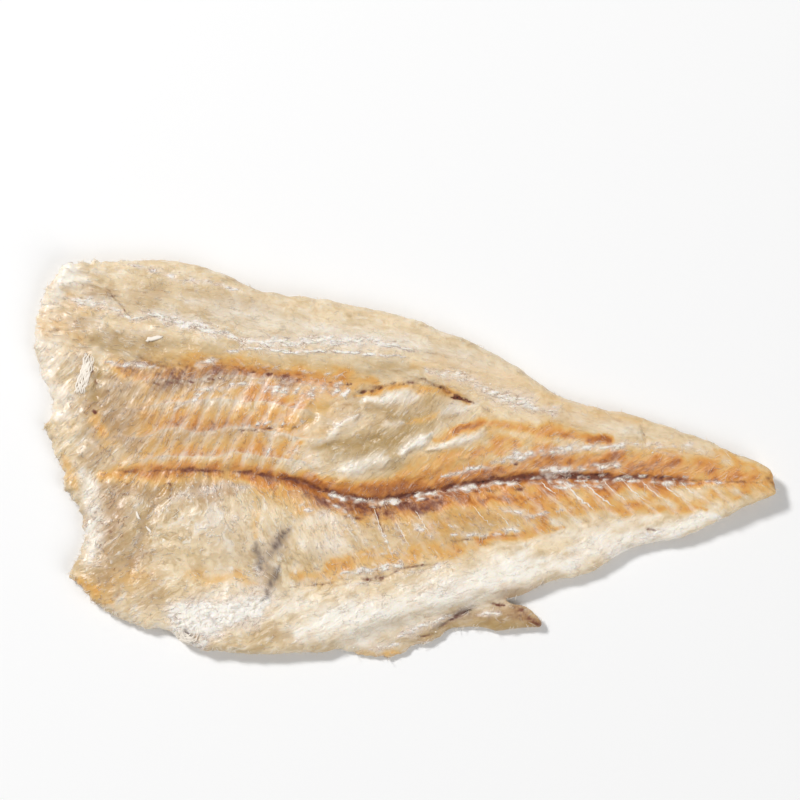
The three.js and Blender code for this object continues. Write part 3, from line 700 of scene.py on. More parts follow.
DRY_STROKES = (
    Mark(((-115.5, 53), (-104.5, 52), (-97.5, 49.5), (-93.5, 46)), 2.2, 0.85, end_width=1.7),
    Mark(((-101.5, 49), (-106, 44.5), (-99.5, 41)), 2.4, 0.35),
    Mark(((-93.5, 46), (-86, 48), (-77.5, 45.5), (-67.5, 43.5), (-58, 40.5)), 2.4, 0.85, end_width=2.4),
    Mark(((-59.5, 40.5), (-45.5, 38), (-28.5, 38), (-11.5, 38.5), (3, 36)), 3.2, 0.85, end_width=2),
    Mark(((-48, 36), (-35.5, 35), (-18.5, 35), (0, 33.5)), 0.9, 1, end_width=0.7, lift=0.3),
    Mark(((7, 30), (16, 27.5), (27.5, 22.5), (38.5, 18), (52.5, 14.5)), 3, 0.68, end_width=2.4),
    Mark(((30.5, 19), (42.5, 19)), 3, 0.6),
    Mark(((-93.5, 64.5), (-85, 63), (-75.5, 59.5), (-64, 58), (-55, 55.5)), 1.2, 0.7),
    Mark(((-101, 31.5), (-86, 30.5)), 1.3, 0.7),
    Mark(((-70.5, 30.5), (-63, 32.5)), 1.7, 0.7),
    Mark(((-60.5, 35.5), (-48, 36.5)), 0.8, 0.7),
    *flecks(((-48, 21.5), (-34, 21), (-18.5, 20)), 11, 1.6, 2, 0.9, 0.8, lift=0.2),
    Mark(((-47, 22.5), (-33.5, 22.5), (-18.5, 21.5)), 2.4, 0.35),
    *flecks(((-64, 24.5), (-42, 24), (-20, 24)), 15, 2, 1, 0.6, 0.5, lift=0.15),
    *flecks(((-51.5, 30.5), (-35.5, 28.5), (-21, 26.5)), 11, 1.8, 0.9, 0.6, 0.5, lift=0.15),
    *flecks(((-57, 9), (-45.5, 10), (-33, 10.5)), 9, 1.4, 1, 0.6, 0.75, lift=0.15),
    *flecks(((-81, 13.5), (-67.5, 21.5)), 7, 2, 0.3, 0.6, 0.7, lift=0.15),
    *flecks(((-99.5, 30.5), (-82.5, 29.5)), 8, 1.6, 0.8, 0.6, 0.6, lift=0.1),
    Mark(((-70.5, 22), (-55.5, 24), (-45.5, 25)), 1, 0.5),
    Mark(((-71, 17.5), (-69.5, 21.5), (-64, 24)), 1.3, 0.75, end_width=1),
    Mark(((-48, -4.5), (-44.5, 4.5)), 0.8, 0.6),
    Mark(((-40, -3.5), (-35.5, 3.5)), 0.8, 0.6),
    Mark(((-36, -4.5), (-30.5, 1.5)), 0.7, 0.6),
    *flecks(along(SPINE, -28, 46, -0.5), 16, 5, 0, 0.9, 1, lift=0.2),
    *flecks(along(SPINE, -20, 32, -1.2), 8, 3, 0, 0.6, 0.9, lift=0.15),
    *flecks(along(SPINE, 46, 107, -0.8), 14, 4, 0, 0.7, 0.95, lift=0.2),
    *flecks(along(SPINE, 47, 96, 0.9), 11, 2.4, 0.3, 0.5, 0.85, lift=0.15),
    *flecks(along(SPINE, -23, 52, 0.5), 17, 1.5, 0.2, 0.4, 0.8, lift=0.15),
    *flecks(((-35.5, -17), (-25, -21.5), (-17.5, -26)), 19, 1.3, 1.2, 0.5, 0.6, lift=0.15),
    *flecks(((-25, -23), (-10, -29.5), (3.5, -33.5)), 23, 1, -1.5, 0.4, 0.55, lift=0.12),
    *flecks(((-1.5, -21.5), (15.5, -23), (34, -21.5)), 18, 1.8, -1.4, 0.4, 0.5, lift=0.12),
    *flecks(((-31, -29.5), (-18.5, -33.5), (-1.5, -32.5)), 14, 2.4, 0.5, 0.5, 0.5, lift=0.12),
    *flecks(((34, -18.5), (45.5, -19), (57.5, -17)), 13, 2, -1, 0.5, 0.6, lift=0.12),
    *flecks(along(SPINE, 48, 66, -2.2), 9, 1.6, -0.6, 0.8, 0.8, lift=0.1),
    *flecks(
        ((31.5, -1.5), (42.5, 0.5), (50.5, 1.5), (66.5, 3), (73.5, 3.5)),
        15, 3.4, 0.6, 1.3, 0.85, lift=0.15,
    ),
    *flecks(((44.5, -5.5), (57.5, -4.5), (72, -3)), 10, 3, 0.5, 1.1, 0.85, lift=0.15),
    *flecks(((72, 4.5), (83, 3), (96.5, 3.5)), 9, 3, 0.3, 1, 0.55, lift=0.1),
    Mark(((84.5, 1.5), (99.5, 1.5), (110, -1.5)), 2, 0.35),
    Mark(((12, -6.5), (25.5, -3.5), (34, -1.5)), 1.2, 0.7),
    Mark(((-35.5, -14.5), (-23.5, -19.5)), 4, 0.3),
    *flecks(((14, -27), (26, -26.5), (39, -25)), 8, 3, 0.2, 0.9, 0.8, lift=0.1),
    *flecks(((-22.5, -40), (-10, -38), (-1, -37)), 8, 4, 0.4, 1.1, 0.9, lift=0.2),
    Mark(((-20, -43), (-7.5, -42.5)), 0.8, 0.55, lift=0.2),
    *flecks(((-3, -39.5), (7, -39), (15.5, -36.5)), 8, 3, 0.6, 1, 0.65),
    *flecks(((-11.5, -16), (-9, -23), (-4.5, -32)), 8, 1.4, 0.4, 0.7, 0.75, lift=0.1),
    *flecks(((-4, -22), (1, -30.5)), 6, 1.2, 0.4, 0.7, 0.7, lift=0.1),
    *flecks(((-27, -14.5), (-20, -18.5), (-15, -24.5)), 8, 1.6, 0.2, 0.6, 0.7, lift=0.1),
    *flecks(((2, -23), (9.5, -27.5)), 6, 2, 0.3, 0.8, 0.6, lift=0.1),
    Mark(((2, -21.5), (12, -26.5)), 2, 0.4),
    Mark(((-36.5, -42.5), (-23.5, -40.5)), 1.3, 0.45),
    Mark(((32, -18), (45.5, -20)), 1.5, 0.7),
    Mark(((-74.5, -57), (-61.5, -53.5), (-49, -49)), 8.1, 1, end_width=6.4),
    Mark(((-72.5, -55.5), (-60.5, -52.5), (-51, -49)), 5.4, 0.9, end_width=4.4),
    Mark(((-76.5, -59), (-72.5, -64), (-67.5, -61.5)), 2.4, 1.1),
    Mark(((-2, -60.5), (7, -57), (16, -53.5)), 2.4, 0.8),
    Mark(((0, -64.5), (12, -61.5)), 1.3, 0.8),
    Mark(((17, -52.5), (27, -49)), 1.3, 0.6),
    Mark(((-11.5, -64.5), (-2, -63)), 1.7, 0.8),
    Mark(((25, -53.5), (29, -52.5), (33, -52)), 1.7, 0.65),
    Mark(((77, -27.5), (82, -26.5), (87.5, -24.5)), 1.5, 0.95),
    Mark(((-77.5, -14.5), (-64, -10.5), (-50.5, -10)), 2.4, 0.5),
    Mark(((-69, -24.5), (-55.5, -21.5)), 4, 0.3),
    Mark(((-49.5, -37), (-48, -39)), 1.7, 0.8),
    Mark(((8.5, -45.5), (18.5, -43)), 3, 0.4),
    Mark(((-25, -51.5), (-1.5, -47.5)), 2.7, 0.3),
    Mark(((52.5, -35), (72.5, -29.5)), 3.4, 0.3),
)
BRUISE_STROKES = (
    Mark(((-49.5, -28.5), (-48.5, -32.5), (-48, -37.5)), 2, 0.55),
    Mark(((-39, -24), (-42.5, -29.5), (-46, -35)), 1.7, 0.45, end_width=1.3),
    Mark(((-41.5, -37), (-44, -42), (-47.5, -49)), 2, 0.55, end_width=1.3),
    Mark(((-41, -26), (-44.5, -32)), 3, 0.25),
    *flecks(((-49.5, -29.5), (-49, -33), (-48, -36)), 5, 0.5, 1.8, 0.5, 0.4),
    *flecks(((-39.5, -24.5), (-42.5, -29), (-45.5, -33.5)), 5, 1.2, 1.5, 0.5, 0.4),
    *flecks(((-41.5, -38), (-43.5, -42), (-46.5, -47)), 6, 0.8, 2, 0.5, 0.45),
    Mark(((-47.5, -35), (-43.5, -39)), 1.7, 0.35),
    Mark(((8.5, -58.5), (16, -54.5), (23, -50.5)), 1.5, 0.4),
    Mark(((-73, -58.5), (-71.5, -60.5)), 1.1, 1),
    Mark(((-48, -7), (-40.5, -9)), 0.8, 0.4),
    Mark(((-65, -53.5), (-63.5, -55.5)), 0.7, 0.4),
    Mark(((-82.5, 24), (-69, 27.5), (-57, 29)), 2.4, 0.16),
)
MARKS = {
    Tint.PALE: PALE_AND_HIGHLIGHT_STROKES,
    Tint.TAN: TAN_AND_SHADE_STROKES,
    Tint.GLASSY: GLASSY_AND_SHADE_STROKES,
    Tint.TOAST: TOAST_STROKES,
    Tint.CHAR: CHAR_AND_SHADE_STROKES,
    Tint.DRY: DRY_STROKES,
    Tint.BRUISE: BRUISE_STROKES,
}

FOLDS = tuple(Mark(path, width, lift=lift) for path, width, lift in (
    (along(FLANK_SEAM, -93, 9, 3.6), 3, 0.5),
    (along(FLANK_SEAM, -99, 9, 0.4), 1.7, -0.15),
    (((-20, -38), (-8.5, -37), (12, -35)), 2, 0.4),
    (((-20, -41.5), (-5, -40.5)), 1.3, -0.4),
    (((-38, 9), (-34, 16), (-31, 19)), 1.7, 0.7),
    (((-26, 4.5), (-22, 9), (-15, 13.5)), 1.9, 0.8),
    (((-14, 17), (-5, 20), (3, 22.5)), 2.7, 0.7),
    (((-7.5, 9), (2, 12)), 2.4, 0.5),
    (((-2, 0), (5, 4), (9, 7)), 1.9, 0.7),
    (((8.5, 2), (17, 4.5), (28, 9)), 2, 0.7),
    (((-23, -8), (-14, -3.5), (-5, -1)), 2.7, 0.7),
    (((-1.5, -8), (8.5, -4.5), (22, 0.5)), 2, 0.5),
    (((-33.5, 10), (-29, 15.5), (-23.5, 18)), 1.7, -0.6),
    (((-28.5, 3.5), (-18.5, 3.5), (-8.5, 5.5)), 2, -0.6),
    (((-12, 15.5), (-3, 14), (5, 13)), 1.7, -0.5),
    (((-41, 0.5), (-35.5, -1.5), (-29, -3.5)), 2.7, 0.4),
    (((-116, 45.5), (-108, 41), (-99.5, 38)), 4, 0.6),
    (((-104.5, 32), (-103.5, 24.5), (-104, 17.5)), 2, -0.7),
    (((-98.5, 53), (-95.5, 49), (-91.5, 45.5)), 1.7, -0.7),
    (((-111, 58), (-99.5, 55.5)), 1.3, -0.5),
    (((-121.5, 38), (-118, 22.5)), 4, 0.7),
    (((-81, -10.5), (-85, -19), (-88.5, -29.5)), 2.4, -0.6),
    (((-72.5, -14.5), (-60.5, -24.5), (-64, -35)), 6.1, 0.5),
    (((39, 5.5), (52.5, 3.5), (66, 1.5)), 3.4, 0.35),
    (((79.5, 11), (81.5, 4.5)), 0.8, -0.5),
    (((77, -28), (89.5, -25.5)), 1.7, -0.5),
    (((-1.5, -29.5), (15.5, -26.5)), 3.4, 0.3),
    (((-102.5, -35), (-96, -45)), 4, 0.6),
))


def paint_marks(places: Places) -> tuple[dict[Tint, Array], Array]:
    """Lay every mark on points, streaked along the fibres.

    Args:
        places: The points.

    Returns:
        Share of each tint at each point, and how far the marks and folds lift the face.
    """
    wander = Noise(MARK_SEED)
    x, y = places.x, places.y
    points = np.stack([x, y], axis=1)
    streak = 1.0 + STREAK_DEPTH * places.fibre_noise(wander, *STREAK_SIZE)
    streak += PATCH_DEPTH * wander(x / PATCH_SIZE, y / PATCH_SIZE + PATCH_SHIFT)
    beads = wander(x / BEAD_SIZE[0], y / BEAD_SIZE[1] + BEAD_SHIFT)
    lift = np.zeros(len(points))
    shares = {}
    for tint, marks in MARKS.items():
        bare = np.ones(len(points))
        for mark in marks:
            cover = mark.cover(points, wander)
            beaded = 0.0
            if mark.width < WIDEST_BEADED:
                beaded = BEADED.get(tint, 0.0) / max(mark.width, 1.0)
            break_up = np.clip(1.0 + beaded * beads if beaded else streak, 0.0, 2.0)
            bare *= 1.0 - np.clip(mark.strength * cover * break_up, 0.0, 1.0)
            lift += mark.lift * cover * (break_up if mark.lift > 0.0 else 1.0)
        shares[tint] = 1.0 - bare
    for fold in FOLDS:
        lift += fold.lift * fold.cover(points, wander)
    return shares, lift


# The solid the looks are laid over

def blur(grid: Array, spread: float) -> Array:
    """Return a grid blurred by a bell curve.

    Args:
        grid: Rows of values.
        spread: Width of the curve in cells.

    Returns:
        The blurred grid.
    """
    reach = int(3.0 * spread) + 1
    weights = np.exp(-0.5 * (np.arange(-reach, reach + 1) / spread) ** 2)
    weights /= weights.sum()
    for axis in (0, 1):
        grid = np.apply_along_axis(np.convolve, axis, grid, weights, "same")
    return grid


class Solid:
    """The shared solid, sampled in millimetres: its outline from above and its two faces."""

    CELL = 1.0
    MARGIN = 6.0
    FAR = 60.0
    RIM_BAND = 3.0
    FLAKE_BLUR = 3.2
    CREASE_BLUR = 0.9
    CREASE = ((-24.0, -64.0), (-2.0, -57.0), (18.0, -52.0), (34.0, -49.0))
    CREASE_REACH = (5.0, 11.0)
    CORE_SHARE = 0.82
    CREASE_CORE_SHARE = 0.6
    SPREADS = (1.0, 2.0, 5.0)
    ENOUGH = 0.08
    LAST_BLUR = 1.0

    def __init__(self, node: Piece) -> None:
        """Join the loose triangles of a copy and sample both faces.

        Args:
            node: Object of the shared frame, which is left as it is.
        """
        mesh = node.data
        mesh.calc_loop_triangles()
        places = np.empty(len(mesh.vertices) * 3)
        mesh.vertices.foreach_get("co", places)
        triangles = np.empty(len(mesh.loop_triangles) * 3, dtype=np.int32)
        mesh.loop_triangles.foreach_get("vertices", triangles)
        points, joined = np.unique(places.reshape(-1, 3), axis=0, return_inverse=True)
        self.points = points / MM
        self.triangles = joined.reshape(-1)[triangles].reshape(-1, 3)
        self.outline = self._outline()
        self._sample()

    def _outline(self) -> Array:
        """Return the longest border of the upward faces, one point a row."""
        corners = self.points[self.triangles]
        facing = np.cross(corners[:, 1] - corners[:, 0], corners[:, 2] - corners[:, 0])[:, 2]
        onward: dict[int, int] = {}
        pairs = set()
        for triangle in self.triangles[facing > 0.0]:
            for start, end in zip(triangle, np.roll(triangle, -1)):
                pairs.add((int(start), int(end)))
        for start, end in pairs:
            if (end, start) not in pairs:
                onward[start] = end
        longest: list[int] = []
        while onward:
            place = next(iter(onward))
            loop = []
            while place in onward:
                loop.append(place)
                place = onward.pop(place)
            longest = max(longest, loop, key=len)
        return self.points[longest][:, :2]

    def _sample(self) -> None:
        """Cast rays on a grid and smooth the heights, leaving out the rounded rim."""
        tree = BVHTree.FromPolygons(self.points.tolist(), self.triangles.tolist())
        low = self.outline.min(axis=0) - self.MARGIN
        high = self.outline.max(axis=0) + self.MARGIN
        self.corner = low
        columns, rows = np.ceil((high - low) / self.CELL).astype(int) + 1
        heights = np.full((2, rows, columns), np.nan)
        down = Vector((0.0, 0.0, -1.0))
        for row, column in np.ndindex(rows, columns):
            x, y = low + self.CELL * np.array([column, row])
            over = tree.ray_cast(Vector((x, y, self.FAR)), down)[0]
            under = tree.ray_cast(Vector((x, y, -self.FAR)), -down)[0]
            if over and under:
                heights[:, row, column] = over.z, under.z
        inside = ~np.isnan(heights[0])
        rim = blur(inside.astype(float), self.RIM_BAND / self.CELL)
        core = inside & (rim > self.CORE_SHARE)
        y_axis, x_axis = np.mgrid[0:rows, 0:columns] * self.CELL
        spots = np.stack([x_axis.ravel() + low[0], y_axis.ravel() + low[1]], axis=1)
        crease = distance_to_path(self.CREASE, spots)[0].reshape(rows, columns)
        sharp = 1.0 - smooth_step(*self.CREASE_REACH, crease)
        core |= inside & (sharp > 0.5) & (rim > self.CREASE_CORE_SHARE)
        self.faces = []
        for face in np.nan_to_num(heights):
            broad = self._spread(face, core, self.FLAKE_BLUR)
            fine = self._spread(face, core, self.CREASE_BLUR)
            self.faces.append(broad + (fine - broad) * sharp)

    def _spread(self, face: Array, core: Array, width: float) -> Array:
        """Return a face blurred inside the core and carried outward from it.

        Args:
            face: Heights on the grid.
            core: Cells that count.
            width: Blur in millimetres.

        Returns:
            Heights on the whole grid.
        """
        result = np.zeros_like(face)
        open_cells = np.ones_like(core)
        for scale in self.SPREADS:
            weight = blur(core.astype(float), width * scale / self.CELL)
            value = blur(face * core, width * scale / self.CELL) / np.maximum(weight, TINY)
            good = open_cells & (weight > self.ENOUGH)
            result[good] = value[good]
            open_cells &= ~good
        return blur(result, self.LAST_BLUR)

    def heights(self, x: Array, y: Array) -> tuple[Array, Array]:
        """Return the height of the upper and under face at points.

        Args:
            x: Along the fillet.
            y: Across it.

        Returns:
            Heights of the upper face and of the under face.
        """
        column = (x - self.corner[0]) / self.CELL
        row = (y - self.corner[1]) / self.CELL
        left = np.clip(column.astype(int), 0, self.faces[0].shape[1] - 2)
        low = np.clip(row.astype(int), 0, self.faces[0].shape[0] - 2)
        across = column - left
        up = row - low
        found = []
        for face in self.faces:
            near = face[low, left] * (1.0 - across) + face[low, left + 1] * across
            far = face[low + 1, left] * (1.0 - across) + face[low + 1, left + 1] * across
            found.append(near * (1.0 - up) + far * up)
        return found[0], found[1]


# Making meshes

def plain_object(name: str, mesh: Mesh) -> Piece:
    """Put a mesh in the scene under a name, at the origin."""
    piece = bpy.data.objects.new(name, mesh)
    bpy.context.scene.collection.objects.link(piece)
    return piece


def mesh_of(name: str, points: Array, faces: list | Array) -> Mesh:
    """Return a smooth mesh from points in millimetres and faces.

    Args:
        name: Name of the mesh.
        points: Points, one a row.
        faces: Corners of each face.

    Returns:
        The mesh.
    """
    mesh = bpy.data.meshes.new(name)
    rows = faces if isinstance(faces, list) else faces.tolist()
    mesh.from_pydata((points * MM).tolist(), [], rows)
    mesh.shade_smooth()
    return mesh


def store(mesh: Mesh, name: str, values: Array) -> None:
    """Keep one number or one vector a vertex on a mesh."""
    vector = values.ndim == 2
    attribute = mesh.attributes.new(name, "FLOAT_VECTOR" if vector else "FLOAT", "POINT")
    attribute.data.foreach_set("vector" if vector else "value", values.astype(np.float32).ravel())


def tree_of(points: Array) -> KDTree:
    """Return a tree that finds the nearest of flat points.

    Args:
        points: Points, one a row.

    Returns:
        The tree.
    """
    tree = KDTree(len(points))
    for index, (x, y) in enumerate(points):
        tree.insert((x, y, 0.0), index)
    tree.balance()
    return tree


def point_normals(points: Array, faces: Array) -> Array:
    """Return the unit normal at each point of a triangle mesh.

    Args:
        points: Points, one a row.
        faces: Corners of each triangle.

    Returns:
        One normal a point.
    """
    corners = points[faces]
    slope = np.cross(corners[:, 1] - corners[:, 0], corners[:, 2] - corners[:, 0])
    total = np.zeros_like(points)
    for corner in range(3):
        np.add.at(total, faces[:, corner], slope)
    return total / np.maximum(np.linalg.norm(total, axis=1, keepdims=True), TINY)


def hand_in(piece: Piece, finish: Material) -> None:
    """Dress a piece, tie it to the body of the fillet and report it.

    Args:
        piece: The piece.
        finish: Its material, unless it has one.
    """
    if not piece.data.materials:
        piece.data.materials.append(finish)
    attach(piece, BODY)
    piece.data.calc_loop_triangles()
    log.info("%s: %d triangles", piece.name, len(piece.data.loop_triangles))


# Node trees

class Graph:
    """Adds nodes to a tree so that the tree reads as a list of steps."""

    def __init__(self, tree: bpy.types.NodeTree) -> None:
        """Keep the tree."""
        self.tree = tree

    def add(self, kind: str, inputs: dict | None = None, **settings: object) -> bpy.types.Node:
        """Add a node.

        Args:
            kind: Type of the node.
            inputs: Values or sockets, by the name or place of the node's input.
            **settings: Properties of the node.

        Returns:
            The node.
        """
        node = self.tree.nodes.new(kind)
        for name, value in settings.items():
            setattr(node, name, value)
        self.fill(node, inputs or {})
        return node

    def fill(self, node: bpy.types.Node, inputs: dict) -> None:
        """Give inputs of a node their values or sockets."""
        for name, value in inputs.items():
            if isinstance(value, Socket):
                self.tree.links.new(value, node.inputs[name])
            else:
                node.inputs[name].default_value = value

    def reckon(self, kind: str, first: object, second: object = 0.0, clamp: bool = False) -> Socket:
        """Return what a sum of the given kind, such as FRACT, makes of one or two numbers."""
        node = self.add("ShaderNodeMath", {0: first, 1: second}, operation=kind, use_clamp=clamp)
        return node.outputs[0]

    def times(self, first: object, second: object, clamp: bool = False) -> Socket:
        """Return two numbers multiplied, kept between 0 and 1 if clamped."""
        return self.reckon("MULTIPLY", first, second, clamp)

    def plus(self, first: object, second: object) -> Socket:
        """Return two numbers added."""
        return self.reckon("ADD", first, second)

    def minus(self, first: object, second: object, clamp: bool = False) -> Socket:
        """Return the first number less the second, kept between 0 and 1 if clamped."""
        return self.reckon("SUBTRACT", first, second, clamp)

    def blend(self, share: object, first: object, second: object, kind: str = "MIX") -> Socket:
        """Return two colours mixed by a share."""
        inputs = {0: share, 6: first, 7: second}
        node = self.add("ShaderNodeMix", inputs, data_type="RGBA", blend_type=kind)
        return node.outputs[2]

    def mix(self, share: object, first: object, second: object) -> Socket:
        """Return two numbers mixed by a share."""
        return self.add("ShaderNodeMix", {0: share, 2: first, 3: second}, data_type="FLOAT").outputs[0]

    def rise(self, value: object, low: float, high: float) -> Socket:
        """Return 0 below low, 1 above high and a smooth rise between."""
        inputs = {"Value": value, "From Min": low, "From Max": high}
        return self.add("ShaderNodeMapRange", inputs, interpolation_type="SMOOTHSTEP").outputs[0]

    def noise(
        self, vector: object, scale: float, detail: float = 2.0, rough: float = 0.55,
    ) -> Socket:
        """Return noise from 0 to 1 at a vector."""
        inputs = {"Vector": vector, "Scale": scale, "Detail": detail, "Roughness": rough}
        return self.add("ShaderNodeTexNoise", inputs).outputs["Fac"]

    def stored(self, name: str, output: str = "Fac") -> Socket:
        """Return a value kept on the mesh."""
        return self.add("ShaderNodeAttribute", attribute_name=name).outputs[output]

    def named(self, name: str, kind: str) -> Socket:
        """Return a value of the given kind kept on the mesh, in a tree that makes shapes."""
        node = self.add("GeometryNodeInputNamedAttribute", {"Name": name}, data_type=kind)
        return node.outputs[0]

    def stretch(self, vector: object, across: float, along_it: float) -> Socket:
        """Return the fibre coordinates scaled across and along the fibres."""
        inputs = {0: vector, 1: (across, along_it, 1.0)}
        return self.add("ShaderNodeVectorMath", inputs, operation="MULTIPLY").outputs[0]


def new_material(name: str) -> tuple[Material, Graph, bpy.types.Node]:
    """Return a new material with its graph and its main shader."""
    material = bpy.data.materials.new(name)
    material.use_nodes = True
    shader = material.node_tree.nodes["Principled BSDF"]
    return material, Graph(material.node_tree), shader


# Finishes

@dataclass(frozen=True)
class FleshFinish:
    """Roasted, dried flesh: cream, straw and tan, browned to orange and brown, white where dry, with
    painted glints and painted shade at the scale of its fibres.
    """

    cream: Colour = paint(243, 222, 187)
    straw: Colour = paint(214, 188, 145)
    pale: Colour = paint(255, 248, 236)
    tan: Colour = paint(184, 148, 108)
    glassy: Colour = paint(186, 156, 106)
    gold: Colour = paint(233, 186, 111)
    orange: Colour = paint(222, 148, 68)
    rust: Colour = paint(172, 102, 48)
    brown: Colour = paint(118, 64, 44)
    black: Colour = paint(40, 26, 20)
    white: Colour = paint(255, 250, 241)
    # Colour of the painted shade in the thin cracks between dry crumbs.
    crack_shade: Colour = paint(146, 104, 84)
    veil: Colour = paint(240, 225, 211)
    slate: Colour = paint(112, 96, 90)
    # Colour of the painted shade in the gaps between strands.
    strand_shade: Colour = paint(214, 184, 150)
    # Colour of the painted shadow beside the torn edges.
    crease: Colour = paint(156, 98, 56)
    roughness: float = 0.37
    wet_roughness: float = -0.08
    crumb_roughness: float = 0.3
    char_roughness: float = 0.3
    bump_strength: float = 0.9
    bump_depth: float = 0.0008
    coat: float = 0.13
    coat_roughness: float = 0.18
    subsurface: float = 0.15
    subsurface_reach: tuple[float, float, float] = (1.0, 0.6, 0.3)
    subsurface_depth: float = 0.001

    # Bumps to a metre, then bumps to a millimetre across and along the fibres
    CLOUD = 120.0
    BEND = 160.0
    CLUSTER = 230.0
    PUFF = 420.0
    SPECK = 700.0
    WISP = (260.0, 1000.0)
    BROAD = (0.15, 0.045)
    SHEAF = (0.36, 0.08)
    VEIN = (0.45, 0.13)
    STRAND = (0.85, 0.17)
    BEND_REACH = 4.0

    def material(self) -> Material:
        """Return the material of the flesh."""
        material, graph, shader = new_material("flesh")
        place = graph.add("ShaderNodeTexCoord").outputs["Object"]
        cloud = graph.noise(place, self.CLOUD, 3.0)
        puff = graph.noise(place, self.PUFF, 3.0)
        speck = graph.noise(place, self.SPECK, 2.0, 0.6)
        cluster = graph.noise(place, self.CLUSTER, 2.0)
        wisp = graph.noise(graph.stretch(place, *self.WISP), 1.0, 3.0)
        sheaf = self._fibre_noise(graph, place, *self.SHEAF)
        strand = self._fibre_noise(graph, place, *self.STRAND)
        vein = self._fibre_noise(graph, place, *self.VEIN)
        broad = self._fibre_noise(graph, place, *self.BROAD)

        patches = graph.rise(graph.mix(0.55, cloud, broad), 0.42, 0.6)
        patches = graph.times(patches, graph.mix(graph.stored("roll"), 1.0, 0.65))
        colour = graph.blend(patches, self.cream, self.straw)
        bundled = graph.mix(graph.stored("fibrous"), 0.25, 0.85)
        colour = graph.blend(graph.times(graph.rise(sheaf, 0.5, 0.7), bundled), colour, self.pale)
        colour = graph.blend(graph.times(graph.rise(sheaf, 0.48, 0.3), bundled), colour, self.glassy)
        mottle = graph.mix(0.6, puff, sheaf)
        for name, noise, tint in (
            ("tan", mottle, self.tan), ("glassy", sheaf, self.glassy), ("pale", sheaf, self.pale),
        ):
            colour = graph.blend(self._broken(graph, name, noise, 0.9), colour, tint)
        colour = self._browned(graph, colour, graph.mix(0.55, sheaf, puff))
        colour = self._flaked(graph, colour, strand)
        # Painted glints along the strands, with painted shade between them.
        colour, strand_glint = self._strand_glints_and_shade(graph, colour, strand, cluster)
        # Torn edges: white, partly painted highlight, with a painted shadow beside each.
        colour, edge = self._veined(graph, colour, vein, puff)
        char = self._broken(graph, "char", speck, 1.1)
        colour = graph.blend(graph.rise(char, 0.0, 0.9), colour, self.brown)
        colour, fuzz = self._dried(graph, colour, graph.mix(0.65, speck, wisp), vein)
        colour = graph.blend(graph.rise(char, 1.0, 1.5), colour, self.black)
        bruise = self._broken(graph, "bruise", graph.mix(0.5, vein, strand), 1.5)
        colour = graph.blend(bruise, colour, self.slate)

        heights = ((speck, 0.18), (strand, 0.5), (puff, 0.28), (strand_glint, 0.25), (edge, 0.4), (fuzz, 0.3))
        graph.fill(shader, {
            "Base Color": colour,
            "Roughness": self._rough(graph, fuzz),
            "Normal": self._bumped(graph, heights),
            "Coat Weight": graph.times(graph.minus(1.0, char, True), self.coat),
            "Coat Roughness": self.coat_roughness,
            "Subsurface Weight": self.subsurface,
            "Subsurface Radius": self.subsurface_reach,
            "Subsurface Scale": self.subsurface_depth,
        })
        return material

    def _rough(self, graph: Graph, fuzz: object) -> Socket:
        """Return the roughness: less where the flesh is glassy, more on crumbs and char."""
        rough = graph.plus(self.roughness, graph.times(graph.stored("glassy"), self.wet_roughness))
        rough = graph.plus(rough, graph.times(fuzz, self.crumb_roughness))
        return graph.plus(rough, graph.times(graph.stored("char"), self.char_roughness))

    def _bumped(self, graph: Graph, heights: tuple[tuple[object, float], ...]) -> Socket:
        """Return the fine relief made of several parts, each with its share of the height.

        Args:
            graph: The graph of the finish.
            heights: Parts and their shares.

        Returns:
            The bent normal.
        """
        height: object = 0.0
        for part, size in heights:
            height = graph.plus(height, graph.times(part, size))
        inputs = {"Strength": self.bump_strength, "Distance": self.bump_depth, "Height": height}
        return graph.add("ShaderNodeBump", inputs).outputs[0]

    def _fibre_noise(
        self, graph: Graph, place: object, across: float, length: float,
    ) -> Socket:
        """Return noise drawn out along the fibres of each muscle and blended across the seams.

        Args:
            graph: The graph of the finish.
            place: Object coordinates, which bend the fibres.
            across: Bumps to a millimetre across the fibres.
            length: Bumps to a millimetre along them.

        Returns:
            The noise, 0 to 1.
        """
        bends = graph.add("ShaderNodeTexNoise", {"Vector": place, "Scale": self.BEND, "Detail": 2.0})
        inputs = {0: bends.outputs["Color"], "Scale": self.BEND_REACH}
        shift = graph.add("ShaderNodeVectorMath", inputs, operation="SCALE").outputs[0]
        found = []
        for name in GRAINS:
            inputs = {0: graph.stored(name, "Vector"), 1: shift}
            bent = graph.add("ShaderNodeVectorMath", inputs, operation="ADD").outputs[0]
            found.append(graph.noise(graph.stretch(bent, across, length), 1.0, 3.0))
        value = graph.mix(graph.stored("roll"), found[0], found[1])
        return graph.mix(graph.stored("belly"), value, found[2])

    def _broken(self, graph: Graph, name: str, noise: object, depth: float) -> Socket:
        """Return a stored share broken up by noise."""
        swing = graph.times(graph.minus(noise, 0.5), 2.0 * depth)
        return graph.times(graph.stored(name), graph.plus(1.0, swing), clamp=name != "char")

    def _browned(self, graph: Graph, colour: object, streak: object) -> Socket:
        """Return the colour after roasting: gold, then orange, then rust, deeper at a flake's end.

        Args:
            graph: The graph of the finish.
            colour: Colour so far.
            streak: Noise that breaks up the browning.

        Returns:
            The browned colour.
        """
        toast = self._broken(graph, "toast", streak, 0.6)
        course = graph.reckon("FRACT", graph.stored("row"))
        deeper = graph.times(graph.minus(0.55, course), graph.stored("rowed"))
        toast = graph.plus(toast, graph.times(deeper, 0.45))
        colour = graph.blend(graph.rise(toast, -0.05, 0.5), colour, self.gold)
        colour = graph.blend(graph.rise(toast, 0.25, 0.85), colour, self.orange)
        return graph.blend(graph.rise(toast, 0.65, 1.05), colour, self.rust)

